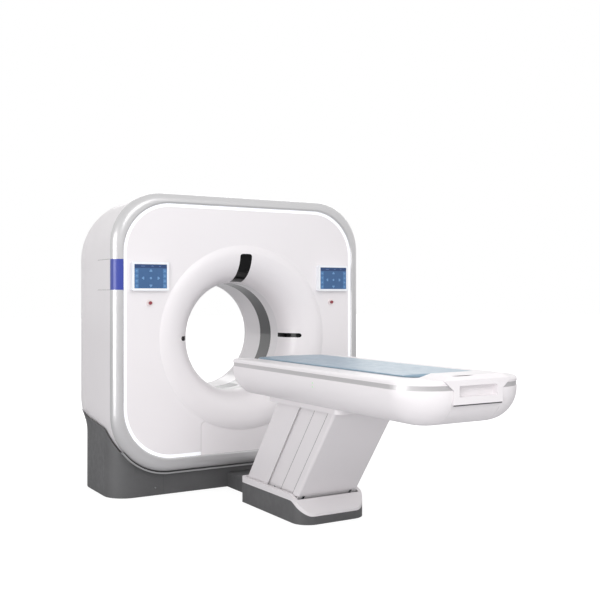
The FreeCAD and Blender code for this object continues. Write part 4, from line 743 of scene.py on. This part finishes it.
def floor_material():
    """A pale floor that the camera sees as white, with a share of its shadow near the object."""
    material = bpy.data.materials.new("floor")
    material.use_nodes = True
    nodes = material.node_tree.nodes
    links = material.node_tree.links
    surface = nodes["Principled BSDF"]
    surface.inputs["Base Color"].default_value = FLOOR_COLOUR
    surface.inputs["Roughness"].default_value = FLOOR_ROUGHNESS
    white = nodes.new("ShaderNodeEmission")
    white.inputs["Color"].default_value = WHITE
    white.inputs["Strength"].default_value = FLOOR_WHITE
    distance = nodes.new("ShaderNodeVectorMath")
    distance.operation = "DISTANCE"
    distance.inputs[1].default_value = SHADOW_CENTRE
    links.new(nodes.new("ShaderNodeTexCoord").outputs["Object"], distance.inputs[0])
    fade = nodes.new("ShaderNodeMapRange")
    fade.interpolation_type = "SMOOTHSTEP"
    fade.inputs["From Min"].default_value = SHADOW_REACH
    fade.inputs["From Max"].default_value = SHADOW_END
    fade.inputs["To Min"].default_value = 1 - SHADOW_SHARE
    fade.inputs["To Max"].default_value = 1.0
    links.new(distance.outputs["Value"], fade.inputs["Value"])
    direct = nodes.new("ShaderNodeMath")
    direct.operation = "MULTIPLY"
    links.new(nodes.new("ShaderNodeLightPath").outputs["Is Camera Ray"], direct.inputs[0])
    links.new(fade.outputs["Result"], direct.inputs[1])
    mix = nodes.new("ShaderNodeMixShader")
    links.new(direct.outputs["Value"], mix.inputs["Fac"])
    links.new(surface.outputs["BSDF"], mix.inputs[1])
    links.new(white.outputs["Emission"], mix.inputs[2])
    links.new(mix.outputs["Shader"], nodes["Material Output"].inputs["Surface"])
    return material


def make_floor():
    """A large floor just under the object's feet."""
    shape = bmesh.new()
    bmesh.ops.create_grid(shape, x_segments=1, y_segments=1, size=FLOOR_HALF)
    mesh = mesh_from("floor", shape)
    mesh.materials.append(floor_material())
    floor = bpy.data.objects.new("floor", mesh)
    bpy.context.scene.collection.objects.link(floor)
    floor.location.z = -FLOOR_DROP


# ---------------------------------------------------------------- light

AMBIENT = 0.67

# Each light: its place, what it is aimed at, its width and height, its power in watts, and whether
# it shows on matt surfaces and in glossy ones. The two rims are there to be mirrored in the bezel.
STUDIO_LIGHTS = (
    ("key", (-0.6, -5.6, 4.3), (0.0, -0.6, 0.9), (3.5, 2.5), 82.0, True, True),
    ("side", (-4.5, -5.7, 1.4), (-0.2, -0.6, 0.9), (3.5, 3.0), 150.0, True, False),
    ("left_rim", (-5.9, -1.4, 1.5), (-0.9, -0.4, 1.0), (3.6, 3.5), 165.0, False, True),
    ("top_rim", (2.9, 4.5, 4.2), (0.0, -0.4, 1.9), (5.0, 3.0), 70.0, False, True),
    ("top", (0.2, -1.9, 5.0), (0.0, -0.9, 0.8), (3.0, 3.0), 12.0, True, False),
)


def make_world():
    """White to the camera and in reflections, and a soft even light on the object."""
    world = bpy.data.worlds.new("studio")
    bpy.context.scene.world = world
    world.use_nodes = True
    nodes = world.node_tree.nodes
    links = world.node_tree.links
    backdrop = nodes["Background"]
    backdrop.inputs["Color"].default_value = WHITE
    seen = nodes.new("ShaderNodeLightPath")
    level = nodes.new("ShaderNodeMapRange")
    level.inputs["To Min"].default_value = AMBIENT
    level.inputs["To Max"].default_value = 1.0
    shown = nodes.new("ShaderNodeMath")
    shown.operation = "MAXIMUM"
    links.new(seen.outputs["Is Camera Ray"], shown.inputs[0])
    links.new(seen.outputs["Is Glossy Ray"], shown.inputs[1])
    links.new(shown.outputs["Value"], level.inputs["Value"])
    links.new(level.outputs["Result"], backdrop.inputs["Strength"])


def make_light(name, place, aim, size, power, on_matt, in_gloss):
    """A soft rectangular light."""
    light = bpy.data.lights.new(name, "AREA")
    light.shape = "RECTANGLE"
    light.size, light.size_y = size
    light.energy = power
    lamp = bpy.data.objects.new(name, light)
    bpy.context.scene.collection.objects.link(lamp)
    lamp.location = place
    lamp.rotation_mode = "QUATERNION"
    lamp.rotation_quaternion = (Vector(aim) - Vector(place)).to_track_quat("-Z", "Y")
    lamp.visible_diffuse = on_matt
    lamp.visible_glossy = in_gloss


# ---------------------------------------------------------------- camera

CAMERA_PLACE = Vector((-2.753, -5.663, 1.263))
CAMERA_YAW = math.radians(31.27)
SENSOR = 36.0
FOCAL_PIXELS = 898.2
PHOTO_WIDTH = 600
PHOTO_HEIGHT = 599
HORIZON_ROW = 294.1
AXIS_COLUMN = 301.3


def make_camera():
    """A level camera; the shifts put the horizon and the axis where the photograph has them."""
    data = bpy.data.cameras.new("camera")
    data.sensor_width = SENSOR
    data.sensor_fit = "HORIZONTAL"
    data.lens = FOCAL_PIXELS / PHOTO_WIDTH * SENSOR
    data.shift_x = (PHOTO_WIDTH / 2 - AXIS_COLUMN) / PHOTO_WIDTH
    data.shift_y = (HORIZON_ROW - PHOTO_HEIGHT / 2) / PHOTO_WIDTH
    camera = bpy.data.objects.new("camera", data)
    bpy.context.scene.collection.objects.link(camera)
    camera.location = CAMERA_PLACE
    camera.rotation_euler = (math.radians(90), 0, -CAMERA_YAW)
    bpy.context.scene.camera = camera


# ---------------------------------------------------------------- build

def clear_startup():
    """Takes out the cube, light and camera of a new file."""
    for thing in list(bpy.data.objects):
        if thing.name in ("Cube", "Light", "Camera"):
            bpy.data.objects.remove(thing)


clear_startup()
materials = make_materials()
dress_nodes(materials)
make_displays()
make_pad(materials["pad_fabric"])
make_signal_lamps()
# One dark rubber for the real joints under the end cap and on the base, and for the painted shadow lines
# on the side cover.
seal_and_shadow_line = textured("seal_and_shadow_line_rubber", rgb(70, 70, 72), 0.6)
# Grey seal strips that also paint the shade lines of the column's cover steps.
make_column_seals_and_step_shade(textured("column_seal_and_step_shade", rgb(112, 110, 112), 0.6))
make_column_apron(materials["column_cover"])
make_cap_seal(seal_and_shadow_line)
# The side cover's grooves get painted shadow lines in the dark rubber.
make_band_lines(seal_and_shadow_line)
make_base_details(seal_and_shadow_line, metal("screw_steel", rgb(150, 150, 152), 0.3))
make_floor()
make_world()
for row in STUDIO_LIGHTS:
    make_light(*row)
make_camera()
bpy.context.scene.view_settings.view_transform = "Standard"
